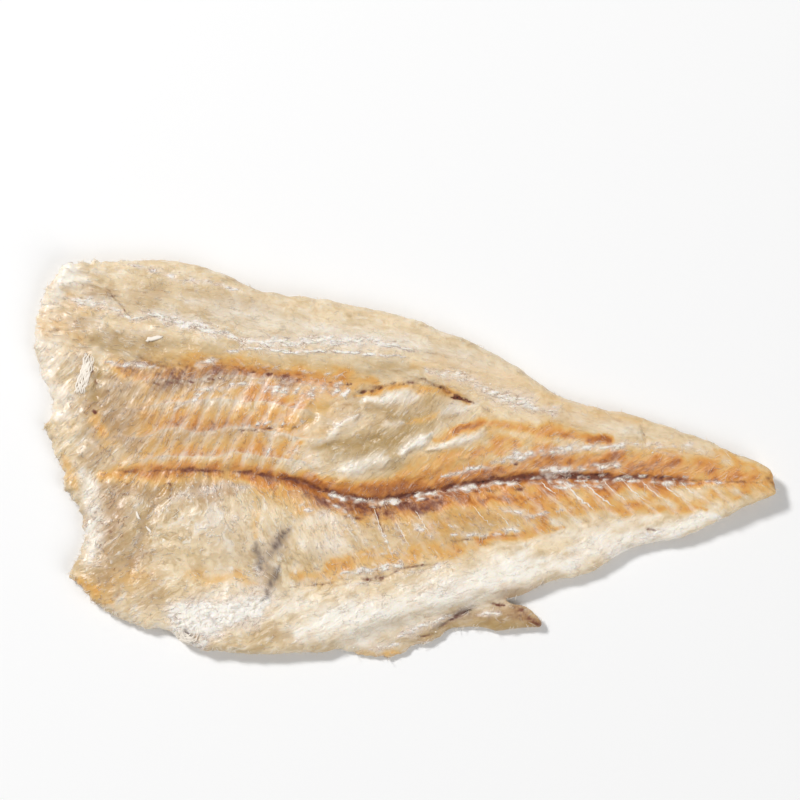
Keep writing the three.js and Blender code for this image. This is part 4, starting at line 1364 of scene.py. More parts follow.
    def _flaked(self, graph: Graph, colour: object, strand: object) -> Socket:
        """Return the colour with pale sheets between the flakes and between their courses.

        Args:
            graph: The graph of the finish.
            colour: Colour so far.
            strand: Noise that frays the sheets.

        Returns:
            The colour with the sheets.
        """
        ragged = graph.times(graph.minus(strand, 0.5), 0.9)
        for name, strength, width in (("flake", "flaked", 0.34), ("row", "rowed", 0.24)):
            phase = graph.reckon("PINGPONG", graph.stored(name), 0.5)
            sheet = graph.minus(1.0, graph.rise(graph.plus(phase, ragged), -0.1, width))
            share = graph.times(sheet, graph.stored(strength))
            colour = graph.blend(graph.times(share, 0.4), colour, self.pale)
        return colour

    def _strand_glints_and_shade(
        self, graph: Graph, colour: object, strand: object, cluster: object,
    ) -> tuple[Socket, Socket]:
        """Return the colour with clusters of painted glints along the strands and a faint painted shade
        between them, and the glints.

        Args:
            graph: The graph of the finish.
            colour: Colour so far.
            strand: Noise of the strands.
            cluster: Noise that gathers them.

        Returns:
            The colour, and how far each place is a painted glint.
        """
        share = graph.mix(graph.stored("fibrous"), 0.2, 0.9)
        share = graph.times(share, graph.rise(cluster, 0.42, 0.64))
        # Painted glints: pale dashes along the strands, gathered in clusters.
        strand_glint = graph.times(graph.rise(strand, 0.54, 0.68), share)
        # Painted shade in the gaps between strands.
        shade = graph.minus(1.0, graph.rise(strand, 0.3, 0.46))
        colour = graph.blend(graph.times(shade, 0.25), colour, self.strand_shade, "MULTIPLY")
        return graph.blend(graph.times(strand_glint, 0.9), colour, self.pale), strand_glint

    def _veined(
        self, graph: Graph, colour: object, vein: object, puff: object,
    ) -> tuple[Socket, Socket]:
        """Return the colour with thin torn edges, white partly as painted highlight, with a painted shadow
        beside them, and the edges.

        Args:
            graph: The graph of the finish.
            colour: Colour so far.
            vein: Noise whose middle level draws the edges.
            puff: Noise that breaks them off.

        Returns:
            The colour, and how far each place is an edge.
        """
        offset = graph.minus(vein, 0.5)
        gap = graph.reckon("ABSOLUTE", offset)
        torn = graph.times(graph.rise(puff, 0.46, 0.6), graph.mix(graph.stored("fibrous"), 0.25, 1.0))
        edge = graph.minus(1.0, graph.rise(gap, 0.0, 0.02))
        edge = graph.times(edge, torn)
        # Painted shadow along one side of each edge, stronger where the flesh is tanned or toasted.
        shade = graph.minus(graph.rise(offset, 0.01, 0.03), graph.rise(offset, 0.035, 0.08))
        cooked = graph.rise(graph.plus(graph.stored("tan"), graph.stored("toast")), 0.05, 0.6)
        shade = graph.times(graph.times(shade, torn), graph.mix(cooked, 0.15, 0.75))
        colour = graph.blend(shade, colour, self.crease, "MULTIPLY")
        # The edge itself: white membrane, partly painted highlight.
        return graph.blend(graph.times(edge, 0.85), colour, self.white), edge

    def _dried(
        self, graph: Graph, colour: object, speck: object, vein: object,
    ) -> tuple[Socket, Socket]:
        """Return the colour under a dry crinkled skin with white crumbs and thin cracks darkened by painted
        shade, and the crumbs.

        Args:
            graph: The graph of the finish.
            colour: Colour so far.
            speck: Noise of the crumbs.
            vein: Noise that draws the cracks.

        Returns:
            The colour, and how far each place is a crumb.
        """
        dry = graph.stored("dry")
        skin = graph.rise(dry, 0.0, 0.9)
        colour = graph.blend(graph.times(skin, 0.7), colour, self.veil)
        height = graph.plus(speck, graph.times(graph.minus(dry, 0.65), 0.7))
        fuzz = graph.times(graph.rise(height, 0.45, 0.7), skin)
        colour = graph.blend(graph.times(fuzz, 0.85), colour, self.white)
        # Painted shade in thin cracks where the crumbs dip.
        gap = graph.reckon("ABSOLUTE", graph.minus(vein, 0.47))
        crack_shade_share = graph.minus(1.0, graph.rise(gap, 0.004, 0.035))
        crack_shade_share = graph.times(crack_shade_share, graph.times(skin, 0.7))
        crack_shade_share = graph.times(crack_shade_share, graph.minus(1.0, graph.stored("pale"), True))
        colour = graph.blend(graph.times(crack_shade_share, graph.rise(speck, 0.62, 0.45)), colour, self.crack_shade)
        return colour, fuzz


# The flesh

@dataclass(frozen=True)
class FleshSizes:
    """Sizes of the flesh in millimetres."""

    outline_step: float = 0.45
    outline_blur: float = 0.9
    slit_width: float = 0.9
    slit_length: float = 5.0
    ragged: float = 0.35
    ragged_end: float = 1.3
    top_rings: tuple[float, ...] = (0.1, 0.32, 0.7, 1.2)
    under_rings: tuple[float, ...] = (0.3, 0.9, 1.8)
    fine_step: float = 0.47
    coarse_step: float = 0.68
    under_step: float = 1.7
    rim_round: float = 3.2
    under_round: float = 2.2
    rim_height: float = 0.42
    map_gap: float = 1.0
    jitter: float = 0.22
    ring_gap: float = 0.35
    busy: float = 0.22
    lowest: float = 0.02
    frays: tuple[Bump, ...] = ((0.7, 4.5, 4.5), (0.5, 1.7, 1.7))
    torn_end: Point = (-88.0, -108.0)
    torn_strip_x: Point = (-30.0, -10.0)
    torn_strip_y: Point = (-58.0, -62.0)
    torn_strip: float = 0.6


@dataclass(frozen=True)
class ReliefSizes:
    """Sizes of the relief in millimetres: heights, and bumps by height, length and width."""

    band: Point = (3.6, 13.0)
    band_height: float = 0.5
    leaf: Point = (1.7, 6.0)
    leaf_shift: float = 30.0
    leaf_height: float = 0.15
    patch_leaf_height: float = 0.45
    patch: float = 7.0
    patch_shift: float = 13.0
    patch_rise: Point = (-0.2, 0.5)
    smooth_share: float = 0.2
    lumps: tuple[Bump, ...] = ((0.34, 10.0, 8.0), (0.14, 4.0, 4.0))
    crumbs: tuple[Bump, ...] = ((0.5, 2.7, 2.7), (0.35, 1.5, 1.5))
    crumb_height: float = 0.1
    fibre_crumb_height: float = 0.14
    end_crumb_height: float = 0.1
    crinkles: Point = (1.6, 0.95)
    crinkle_level: float = 0.3
    fine_crinkle: float = 0.4
    crinkle_height: float = 0.5
    cut_width: float = 1.3
    seam_depth: float = 0.25
    seam_width: float = 0.9
    knobbed_end: Point = (-88.0, -112.0)
    knob: Bump = (0.7, 7.0, 5.0)
    knob_shift: float = 7.0
    small_knob: Bump = (0.45, 3.2, 3.2)
    under_band_height: float = 0.15
    under_lumps: float = 0.3
    under_inset: float = 0.1
    rim_band: float = 0.8
    rim_share: float = 0.35


@dataclass(frozen=True)
class Growth:
    """Where nap, fringe and crumbs grow, in millimetres and shares."""

    nap_level: float = 0.15
    nap_swing: float = 1.4
    nap_patch: float = 6.0
    least_nap: float = 0.02
    fringe_band: Point = (0.4, 1.4)
    fringed_end: Point = (-85.0, -105.0)
    fringed_belly: Point = (70.0, 40.0)
    least_fringe: float = 0.12
    end_fringe: float = 0.6
    belly_fringe: float = 0.35
    fringe_rise: float = 0.15
    least_litter: float = 0.04


class Flesh:
    """The whole piece of flesh as one closed skin that takes the place of the solid."""

    FRAY_SEED = 5
    RELIEF_SEED = 7
    NAP_SEED = 61
    INSIDE_ONLY = 1
    SAME_POINT = 1e-5
    UNDER_TINT = 0.3
    FACE_GAP = 10.0
    ROWED_GAIN = 3.0
    FLAKED_GAIN = 3.6
    COOKED_FIBRE = 0.5
    LEAST_FIBROUS = 0.05

    def __init__(self, solid: Solid, sizes: FleshSizes) -> None:
        """Trace the outline to build within.

        Args:
            solid: The sampled solid.
            sizes: Sizes of the skin.
        """
        self.solid = solid
        self.sizes = sizes
        self.outline = self._ragged_outline()
        self.tree = tree_of(self.outline)

    def _ragged_outline(self) -> Array:
        """Return the outline of the solid, evenly stepped and frayed."""
        sizes = self.sizes
        closed = np.vstack([self.solid.outline, self.solid.outline[:1]])
        travel = travel_along(closed)
        count = int(travel[-1] / sizes.outline_step)
        stops = np.linspace(0.0, travel[-1], count, endpoint=False)
        x, y = self._without_slits(points_along(closed, travel, stops).T).T
        reach = np.fft.fftfreq(len(x), d=sizes.outline_step)
        soften = np.exp(-2.0 * (math.pi * reach * sizes.outline_blur) ** 2)
        x = np.fft.ifft(np.fft.fft(x) * soften).real
        y = np.fft.ifft(np.fft.fft(y) * soften).real
        strip = sizes.torn_strip * smooth_step(*sizes.torn_strip_y, y) * smooth_step(*sizes.torn_strip_x, x)
        torn = smooth_step(*sizes.torn_end, x) + strip
        depth = sizes.ragged + (sizes.ragged_end - sizes.ragged) * np.clip(torn, 0.0, 1.0)
        fray = bumps(Noise(self.FRAY_SEED), x, y, sizes.frays)
        out_x, out_y = self._outward(x, y)
        return np.stack([x + depth * fray * out_x, y + depth * fray * out_y], axis=1)

    def _without_slits(self, points: Array) -> Array:
        """Return a closed line without the slits that run in where one part overhangs another.

        Args:
            points: The line, one point a row.

        Returns:
            The points that are left.
        """
        sizes = self.sizes
        shortest = int(sizes.slit_length / sizes.outline_step)
        while True:
            tree = tree_of(points)
            widest = (shortest, 0)
            for index, (x, y) in enumerate(points):
                for _, other, _ in tree.find_range((x, y, 0.0), sizes.slit_width):
                    run = (other - index) % len(points)
                    if run < len(points) // 2:
                        widest = max(widest, (run, index))
            run, start = widest
            if run <= shortest:
                return points
            points = np.roll(points, -start, axis=0)[run:]

    @staticmethod
    def _outward(x: Array, y: Array) -> tuple[Array, Array]:
        """Return the unit direction out of a closed line that runs anticlockwise.

        Args:
            x: Along the fillet.
            y: Across it.

        Returns:
            Both parts of the direction.
        """
        run_x = np.roll(x, -2) - np.roll(x, 2)
        run_y = np.roll(y, -2) - np.roll(y, 2)
        length = np.maximum(np.hypot(run_x, run_y), TINY)
        return run_y / length, -run_x / length

    def _rim_distance(self, points: Array) -> tuple[Array, Array]:
        """Return how far points are from the outline, and the place of the nearest on it."""
        found = [self.tree.find((x, y, 0.0)) for x, y in points]
        return np.array([hit[2] for hit in found]), np.array([hit[1] for hit in found])

    def _lattice(self, step: float, seed: int) -> Array:
        """Return uneven points a step apart over the outline's box.

        Args:
            step: Distance between points.
            seed: Number that fixes how they stray.

        Returns:
            The points, one a row.
        """
        rng = np.random.default_rng(seed)
        low = self.outline.min(axis=0)
        high = self.outline.max(axis=0)
        row_step = step * math.sqrt(0.75)
        rows = []
        for index, y in enumerate(np.arange(low[1], high[1], row_step)):
            x = np.arange(low[0] + 0.5 * step * (index % 2), high[0], step)
            rows.append(np.stack([x, np.full_like(x, y)], axis=1))
        points = np.vstack(rows)
        jitter = self.sizes.jitter
        return points + rng.uniform(-jitter, jitter, points.shape) * step

    def _sheet(self, inner: Array, rings: tuple[float, ...]) -> tuple[Array, Array]:
        """Fill the outline with triangles.

        Args:
            inner: Points to use inside.
            rings: Distances of the rings of points along the rim.

        Returns:
            The points, those of the outline first, and the triangles.
        """
        count = len(self.outline)
        out_x, out_y = self._outward(*self.outline.T)
        outward = np.stack([out_x, out_y], axis=1)
        points = [self.outline]
        for place, ring in enumerate(rings):
            points.append((self.outline - ring * outward)[::1 + place // 2])
        distance, _ = self._rim_distance(inner)
        points.append(inner[distance > rings[-1] + self.sizes.ring_gap])
        spots = np.vstack(points)
        edges = [(index, (index + 1) % count) for index in range(count)]
        flat = [Vector(spot) for spot in spots]
        filled = delaunay_2d_cdt(flat, edges, [], self.INSIDE_ONLY, self.SAME_POINT)
        found, _, faces, sources, *_ = filled
        order = np.array([min(source) if source else len(spots) for source in sources])
        rank = np.empty(len(order), dtype=int)
        rank[np.argsort(order, kind="stable")] = np.arange(len(order))
        sheet = np.empty((len(order), 2))
        sheet[rank] = [tuple(spot) for spot in found]
        triangles = rank[np.array(faces)]
        used = np.zeros(len(sheet), dtype=bool)
        used[triangles] = True
        place_now = np.cumsum(used) - 1
        return sheet[used], place_now[triangles]

    def build(self) -> Piece:
        """Return the flesh as a dressed mesh, without its finish."""
        sizes = self.sizes
        fine = self._lattice(sizes.fine_step, 1)
        coarse = self._lattice(sizes.coarse_step, 2)
        inner = np.vstack([fine[self._detail(fine)], coarse[~self._detail(coarse)]])
        top, top_faces = self._sheet(inner, sizes.top_rings)
        under, under_faces = self._sheet(self._lattice(sizes.under_step, 3), sizes.under_rings)
        rim_count = len(self.outline)
        shift = len(top) - rim_count
        lower = np.where(under_faces < rim_count, under_faces, under_faces + shift)[:, ::-1]
        faces = np.vstack([top_faces, lower])
        flat = np.vstack([top, under[rim_count:]])
        is_top = np.arange(len(flat)) < len(top)
        return self._dress(flat, faces, is_top, len(top_faces))

    def _detail(self, points: Array) -> Array:
        """Return which points need the fine step: dry, charred and bruised places."""
        spread = np.zeros(len(points))
        shares, lift = paint_marks(locate(*points.T, spread, spread))
        busy = shares[Tint.DRY] + shares[Tint.CHAR] + shares[Tint.BRUISE] + np.abs(lift)
        return busy > self.sizes.busy

    def _dress(self, flat: Array, faces: Array, is_top: Array, top_count: int) -> Piece:
        """Raise the flat sheets to their heights, work the relief and keep the tints.

        Args:
            flat: Points seen from above.
            faces: Triangles of both sheets.
            is_top: Which points belong to the upper face.
            top_count: How many of the triangles belong to the upper face.

        Returns:
            The finished mesh as an object.
        """
        sizes = self.sizes
        distance, nearest = self._rim_distance(flat)
        x, y = flat.T
        places = locate(x, y, distance, is_top.astype(float))
        over, under = self.solid.heights(x, y)
        lip = under + sizes.rim_height * (over - under)
        top_rise = self._rounded(distance, sizes.rim_round)
        under_rise = self._rounded(distance, sizes.under_round)
        height = np.where(is_top, lip + (over - lip) * top_rise, lip - (lip - under) * under_rise)
        points = np.column_stack([x, y, height])
        shares, lift = paint_marks(places)
        relief = self._relief(places, shares, lift)
        points += point_normals(points, faces) * relief[:, None]
        points[:, 2] = np.maximum(points[:, 2], sizes.lowest)
        mesh = mesh_of("flesh", points, faces)
        self._keep(mesh, places, shares, nearest)
        self._map(mesh, flat, top_count)
        return plain_object("flesh", mesh)

    @staticmethod
    def _rounded(distance: Array, reach: float) -> Array:
        """Return how high a rounded rim stands, 0 at the outline and 1 past its reach."""
        share = np.clip(distance / reach, 0.0, 1.0)
        return np.sqrt(1.0 - (1.0 - share) ** 2)

    def _relief(self, places: Places, shares: dict[Tint, Array], lift: Array) -> Array:
        """Work out the relief of the flesh.

        Args:
            places: The points.
            shares: Tints at the points.
            lift: Lift of the marks and folds.

        Returns:
            How far each point moves out along its normal, in millimetres.
        """
        x, y = places.x, places.y
        size = ReliefSizes()
        noise = Noise(self.RELIEF_SEED)
        rough = self._fibrous(places, shares)
        band = places.fibre_noise(noise, *size.band)
        leaf = places.fibre_noise(noise, *size.leaf, size.leaf_shift)
        patch = smooth_step(*size.patch_rise, noise(x / size.patch + size.patch_shift, y / size.patch))
        lumps = bumps(noise, x, y, size.lumps)
        crumbs = bumps(noise, x, y, size.crumbs)
        coarse, fine = (np.abs(noise(x / width, y / width)) for width in size.crinkles)
        crinkle = size.crinkle_level - coarse - size.fine_crinkle * fine
        flakes = self._blocks(places) * self._flaked(places)
        cut = SPINE_CUT(x) * np.exp(-(places.spine_gap / size.cut_width) ** 2)
        seam = size.seam_depth * patch * np.exp(-(places.seam_gap / size.seam_width) ** 2)
        head = smooth_step(*size.knobbed_end, x)
        height, length, width = size.knob
        knobs = height * noise(x / length, y / width + size.knob_shift)
        knobs = head * (knobs + bumps(noise, x, y, (size.small_knob,)))
        combed = size.band_height * band + (size.leaf_height + size.patch_leaf_height * patch) * leaf
        upper = (size.smooth_share + (1.0 - size.smooth_share) * rough) * combed + lumps + knobs
        crumbly = size.crumb_height + size.fibre_crumb_height * rough + size.end_crumb_height * head
        upper += crumbly * crumbs
        upper += size.crinkle_height * crinkle * shares[Tint.DRY] + flakes + lift - cut - seam
        lower = size.under_band_height * band + size.under_lumps * lumps - size.under_inset
        edge = size.rim_share + (1.0 - size.rim_share) * smooth_step(0.0, size.rim_band, places.rim)
        return np.where(places.top > 0.5, upper, lower) * edge

    @staticmethod
    def _blocks(places: Places) -> Array:
        """Return the swell of the flakes, each a block with a soft back and a lean toward one end.

        Args:
            places: The points.

        Returns:
            One height a point.
        """
        swing = places.flake - np.floor(places.flake)
        column = (1.0 - np.abs(2.0 * swing - 1.0) ** 2.2) - 0.6 + 0.35 * (swing - 0.5)
        rise = places.row - np.floor(places.row)
        course = 0.5 * (1.0 - np.abs(2.0 * rise - 1.0) ** 3.0) - 0.4
        return column + course * places.upper

    def _fibrous(self, places: Places, shares: dict[Tint, Array]) -> Array:
        """Return how fibrous the flesh is, 0 to 1.

        Args:
            places: The points.
            shares: Tints at the points.

        Returns:
            One share a point.
        """
        x = places.x
        total = places.roll * ROLL_FIBRE(x) + places.upper * UPPER_FIBRE(x)
        total += places.lower * LOWER_FIBRE(x) + places.belly * BELLY_FIBRE(x)
        for tint in (Tint.GLASSY, Tint.TOAST):
            total = total * (1.0 - self.COOKED_FIBRE * shares[tint])
        return np.clip(total, self.LEAST_FIBROUS, 1.0)

    @staticmethod
    def _flaked(places: Places) -> Array:
        """Return how strongly the flakes show, in millimetres of relief."""
        fade = smooth_step(1.0, 4.0, np.abs(places.spine_gap))
        return fade * (places.upper * UPPER_FLAKE(places.x) + places.lower * LOWER_FLAKE(places.x))

    def _keep(
        self, mesh: Mesh, places: Places, shares: dict[Tint, Array], nearest: Array,
    ) -> None:
        """Store the tints, the fibre coordinates and where fibres grow.

        Args:
            mesh: Mesh to store on.
            places: Its points.
            shares: Tints at the points.
            nearest: Place on the outline that is nearest to each point.
        """
        top = places.top
        for tint, share in shares.items():
            store(mesh, tint.value, share * np.where(top > 0.5, 1.0, self.UNDER_TINT))
        for name, grain in zip(GRAINS, places.grains):
            store(mesh, name, np.column_stack([grain[0], grain[1], self.FACE_GAP * top]))
        for name in ("roll", "belly", "flake", "row", "lie"):
            store(mesh, name, getattr(places, name))
        flaked = self._flaked(places)
        store(mesh, "rowed", np.clip(self.ROWED_GAIN * flaked * places.upper * top, 0.0, 1.0))
        store(mesh, "flaked", np.clip(self.FLAKED_GAIN * flaked * top, 0.0, 1.0))
        fibrous = self._fibrous(places, shares)
        store(mesh, "fibrous", fibrous)
        growth = Growth()
        patchy = Noise(self.NAP_SEED)(places.x / growth.nap_patch, places.y / growth.nap_patch)
        patchy = np.clip(growth.nap_level + growth.nap_swing * patchy, growth.least_nap, 1.0)
        store(mesh, "nap", fibrous * patchy * top)
        store(mesh, "sprout", shares[Tint.DRY] * top)
        store(mesh, "litter", (growth.least_litter + shares[Tint.DRY]) * top)
        near_rim = 1.0 - smooth_step(*growth.fringe_band, places.rim)
        head = smooth_step(*growth.fringed_end, places.x)
        belly = places.belly * smooth_step(*growth.fringed_belly, places.x)
        fringe = growth.least_fringe + growth.end_fringe * head + growth.belly_fringe * belly
        store(mesh, "fringe", near_rim * fringe)
        out_x, out_y = self._outward(*self.outline.T)
        outward = np.column_stack([out_x, out_y, np.full_like(out_x, growth.fringe_rise)])
        store(mesh, "outward", outward[nearest])

    def _map(self, mesh: Mesh, flat: Array, top_count: int) -> None:
        """Lay the upper face out over the upper part of the map and the underside below it.

        Args:
            mesh: Mesh to lay out.
            flat: Its points seen from above.
            top_count: How many of its triangles belong to the upper face.
        """
        low = flat.min(axis=0) - self.sizes.map_gap
        width, depth = flat.max(axis=0) + self.sizes.map_gap - low
        upper = (flat - low) / width
        upper[:, 1] += 1.0 - depth / width
        lower = (flat - low) * (1.0 - depth / width) / depth
        corners = np.empty(len(mesh.loops), dtype=np.int32)
        mesh.loops.foreach_get("vertex_index", corners)
        in_top = np.arange(len(corners)) < 3 * top_count
        spots = np.where(in_top[:, None], upper[corners], lower[corners])
        layer = mesh.uv_layers.new(name=UV_NAME)
        layer.uv.foreach_set("vector", spots.astype(np.float32).ravel())


# Fibres and crumbs strewn over the flesh

@dataclass(frozen=True)
class FibreFinish:
    """Dry torn fibres: near white, browned a little where the flesh under them is."""

    name: str = "fibre"
    pale: Colour = paint(252, 242, 228)
    browned: Colour = paint(214, 172, 128)
    browning: float = 0.45
    roughness: float = 0.6

    def material(self) -> Material:
        """Return the material of the fibres."""
        material, graph, shader = new_material(self.name)
        toast = graph.times(graph.stored("toast"), self.browning)
        colour = graph.blend(toast, self.pale, self.browned)
        graph.fill(shader, {"Base Color": colour, "Roughness": self.roughness})
        return material


class Shape(Enum):
    """Kinds of thing that are strewn."""

    STRAND = "strand"
    CRUMB = "crumb"


@dataclass(frozen=True)
class Strewn:
    """One kind of thing strewn over the flesh, with its sizes in millimetres and degrees."""

    name: str
    shape: Shape
    grows_by: str
    lies_by: str
    per_square_mm: float
    length: float
    thickness: float
    shortest: float
    longest: float
    swing: float
    lift: float
    seed: int
    variants: int = 4


def tube(path: Array, radii: Array, sides: int, flat: float = 1.0) -> tuple[Array, list]:
    """Return the points and faces of a closed tube that tapers along a path.

    Args:
        path: Centre line, one point a row.
        radii: Radius at each point of the path.
        sides: Sides of the tube.
        flat: Height of the tube as a share of its width.

    Returns:
        The points and the faces.
    """
    run = np.gradient(path, axis=0)
    run /= np.linalg.norm(run, axis=1, keepdims=True)
    side = np.cross(run, (0.0, 0.0, 1.0))
    side /= np.maximum(np.linalg.norm(side, axis=1, keepdims=True), TINY)
    over = flat * np.cross(side, run)
    turns = 2.0 * math.pi * np.arange(sides) / sides
    ring = side[:, None] * np.cos(turns)[:, None] + over[:, None] * np.sin(turns)[:, None]
    points = (path[:, None] + radii[:, None, None] * ring).reshape(-1, 3)
    faces: list[tuple[int, ...]] = []
    for row in range(len(path) - 1):
        for place in range(sides):
            onward = (place + 1) % sides
            base = row * sides
            faces.append((base + place, base + sides + place, base + sides + onward, base + onward))
    last = (len(path) - 1) * sides
    faces.append(tuple(range(sides)))
    faces.append(tuple(last + place for place in reversed(range(sides))))
    return points, faces


class Scatter:
    """Strews small shapes over the flesh with a node tree and bakes them to one plain mesh."""

    STRAND_POINTS = 4
    STRAND_SIDES = 3
    STRAND_ROOT = 0.2
    STRAND_BEND = 0.25
    STRAND_RISE = 0.16
    STRAND_ARCH = 0.6
    STRAND_TAPER = ((0.0, 0.3, 1.0), (0.6, 1.0, 0.25))
    CRUMB_POINTS = 14
    CRUMB_SIZES = (0.6, 1.15)
    CRUMB_WIDTH = 0.7
    ROLL_DEGREES = 20.0

    def __init__(self, kind: Strewn, finish: Material) -> None:
        """Keep the kind and its finish."""
        self.kind = kind
        self.finish = finish

    def _strand(self, rng: np.random.Generator) -> Mesh:
        """Return one bent, tapering strand.

        Args:
            rng: Random draws of the kind.

        Returns:
            The mesh.
        """
        kind = self.kind
        share = np.linspace(0.0, 1.0, self.STRAND_POINTS)
        bend = rng.uniform(-self.STRAND_BEND, self.STRAND_BEND) * kind.length
        rise = rng.uniform(0.0, self.STRAND_RISE) * kind.length
        path = np.column_stack([
            (share - self.STRAND_ROOT) * kind.length,
            bend * share * share,
            rise * np.sin(share * math.pi * self.STRAND_ARCH),
        ])
        radii = 0.5 * kind.thickness * np.interp(share, *self.STRAND_TAPER)
        return mesh_of("strand", *tube(path, radii, self.STRAND_SIDES))

    def _crumb(self, rng: np.random.Generator) -> Mesh:
        """Return one lumpy crumb, the hull of points spread evenly over a ball and pulled about.

        Args:
            rng: Random draws of the kind.

        Returns:
            The mesh.
        """
        kind = self.kind
        count = self.CRUMB_POINTS
        golden = math.pi * (3.0 - math.sqrt(5.0))
        level = 1.0 - 2.0 * (np.arange(count) + 0.5) / count
        flat = np.sqrt(1.0 - level * level)
        turn = golden * np.arange(count)
        ball = np.column_stack([flat * np.cos(turn), flat * np.sin(turn), level])
        box = (kind.length, self.CRUMB_WIDTH * kind.length, kind.thickness)
        ball *= rng.uniform(*self.CRUMB_SIZES, (count, 1)) * box
        return hull_of("crumb", 0.5 * ball)

    def _tree(self) -> bpy.types.NodeTree:
        """Return the node tree that strews the shapes."""
        tree = bpy.data.node_groups.new("strew", "GeometryNodeTree")
        kinds = {
            "Flesh": "NodeSocketGeometry", "Density": "NodeSocketFloat", "Shortest": "NodeSocketFloat",
            "Longest": "NodeSocketFloat", "Swing": "NodeSocketVector", "Seed": "NodeSocketInt",
            "Shapes": "NodeSocketCollection", "Finish": "NodeSocketMaterial",
        }
        for name, kind in kinds.items():
            tree.interface.new_socket(name, in_out="INPUT", socket_type=kind)
        tree.interface.new_socket("Strewn", in_out="OUTPUT", socket_type="NodeSocketGeometry")
        graph = Graph(tree)
        given = graph.add("NodeGroupInput").outputs
        density = graph.times(graph.named(self.kind.grows_by, "FLOAT"), given["Density"])
        spots = graph.add(
            "GeometryNodeDistributePointsOnFaces",
            {"Mesh": given["Flesh"], "Density": density, "Seed": given["Seed"]},
        )
        lies = graph.named(self.kind.lies_by, "FLOAT_VECTOR")
        aim = graph.add(
            "FunctionNodeAlignRotationToVector",
            {"Rotation": spots.outputs["Rotation"], "Vector": lies}, axis="X", pivot_axis="Z",
        )
        low = graph.add("ShaderNodeVectorMath", {0: given["Swing"], "Scale": -1.0}, operation="SCALE")
        swing = graph.add(
            "FunctionNodeRandomValue",
            {"Min": low.outputs[0], "Max": given["Swing"], "Seed": given["Seed"]}, data_type="FLOAT_VECTOR",
        )
        turn = graph.add("FunctionNodeEulerToRotation", {0: swing.outputs[0]})
        pose = graph.add(
            "FunctionNodeRotateRotation", {0: aim.outputs[0], 1: turn.outputs[0]}, rotation_space="LOCAL",
        )
        size = graph.add("FunctionNodeRandomValue", data_type="FLOAT")
        for name, target in (("Shortest", "Min"), ("Longest", "Max")):
            socket = next(item for item in size.inputs if item.name == target and item.type == "VALUE")
            tree.links.new(given[name], socket)
        shapes = graph.add("GeometryNodeCollectionInfo", {0: given["Shapes"], 1: True, 2: True})
        strewn = graph.add("GeometryNodeInstanceOnPoints", {
            "Points": spots.outputs["Points"], "Instance": shapes.outputs[0], "Pick Instance": True,
            "Rotation": pose.outputs[0], "Scale": size.outputs[1],
        })
        real = graph.add("GeometryNodeRealizeInstances", {0: strewn.outputs[0]})
        dressed = graph.add("GeometryNodeSetMaterial", {0: real.outputs[0], "Material": given["Finish"]})
        graph.add("NodeGroupOutput", {0: dressed.outputs[0]})
        return tree

    def build(self, flesh: Piece) -> Piece:
        """Strew the shapes over the flesh.

        Args:
            flesh: Mesh to grow from.

        Returns:
            All the strewn shapes as one plain mesh.
        """
        kind = self.kind
        rng = np.random.default_rng(kind.seed)
        shapes = bpy.data.collections.new(kind.name)
        for _ in range(kind.variants):
            mesh = self._strand(rng) if kind.shape is Shape.STRAND else self._crumb(rng)
            shapes.objects.link(bpy.data.objects.new(kind.name, mesh))
        values = {
            "Density": kind.per_square_mm / (MM * MM), "Shortest": kind.shortest, "Longest": kind.longest,
            "Swing": tuple(math.radians(turn) for turn in (self.ROLL_DEGREES, kind.lift, kind.swing)),
            "Seed": kind.seed, "Shapes": shapes, "Finish": self.finish,
        }
        bed = plain_object("bed", flesh.data)
        modifier = bed.modifiers.new("strew", "NODES")
        modifier.node_group = self._tree()
        for item in modifier.node_group.interface.items_tree:
            if item.name in values:
                modifier[item.identifier] = values[item.name]
        graph = bpy.context.evaluated_depsgraph_get()
        mesh = bpy.data.meshes.new_from_object(bed.evaluated_get(graph), depsgraph=graph)
        bpy.data.objects.remove(bed)
        for shape in list(shapes.objects):
            bpy.data.objects.remove(shape)
        bpy.data.collections.remove(shapes)
        mesh.name = kind.name
        return plain_object(kind.name, mesh)


def hull_of(name: str, points: Array) -> Mesh:
    """Return the closed hull of points in millimetres as a mesh.

    Args:
        name: Name of the mesh.
        points: Points, one a row.

    Returns:
        The mesh.
    """
    work = bmesh.new()
    for point in points * MM:
        work.verts.new(point)
    found = bmesh.ops.convex_hull(work, input=work.verts)
    spare = [item for item in found["geom_interior"] if isinstance(item, bmesh.types.BMVert)]
    bmesh.ops.delete(work, geom=spare, context="VERTS")
    mesh = bpy.data.meshes.new(name)
    work.to_mesh(mesh)
    work.free()
    return mesh


STREWN = (
    Strewn(
        "nap_fibres", Shape.STRAND, grows_by="nap", lies_by="lie", per_square_mm=0.16, length=3.2,
        thickness=0.16, shortest=0.3, longest=1.2, swing=50.0, lift=7.0, seed=29,
    ),
    Strewn(
        "dry_fibres", Shape.STRAND, grows_by="sprout", lies_by="lie", per_square_mm=0.8, length=2.6,
        thickness=0.2, shortest=0.4, longest=1.2, swing=70.0, lift=7.0, seed=31,
    ),
    Strewn(
        "torn_fringe", Shape.STRAND, grows_by="fringe", lies_by="outward", per_square_mm=0.5, length=2.6,
        thickness=0.26, shortest=0.4, longest=1.1, swing=45.0, lift=20.0, seed=37,
    ),
    Strewn(
        "crumbs", Shape.CRUMB, grows_by="litter", lies_by="lie", per_square_mm=0.035, length=0.9,
        thickness=0.5, shortest=0.4, longest=1.1, swing=180.0, lift=20.0, seed=41,
    ),
)


# Threads and slivers, listed one by one

@dataclass(frozen=True)
class Thread:
    """A pale thread or sliver: its path in millimetres, its width, flatness and lift off the flesh."""

    path: tuple[Point, ...]
    width: float = 0.3
    flat: float = 1.0
    lift: float = 0.0
    uneven: float = 0.7


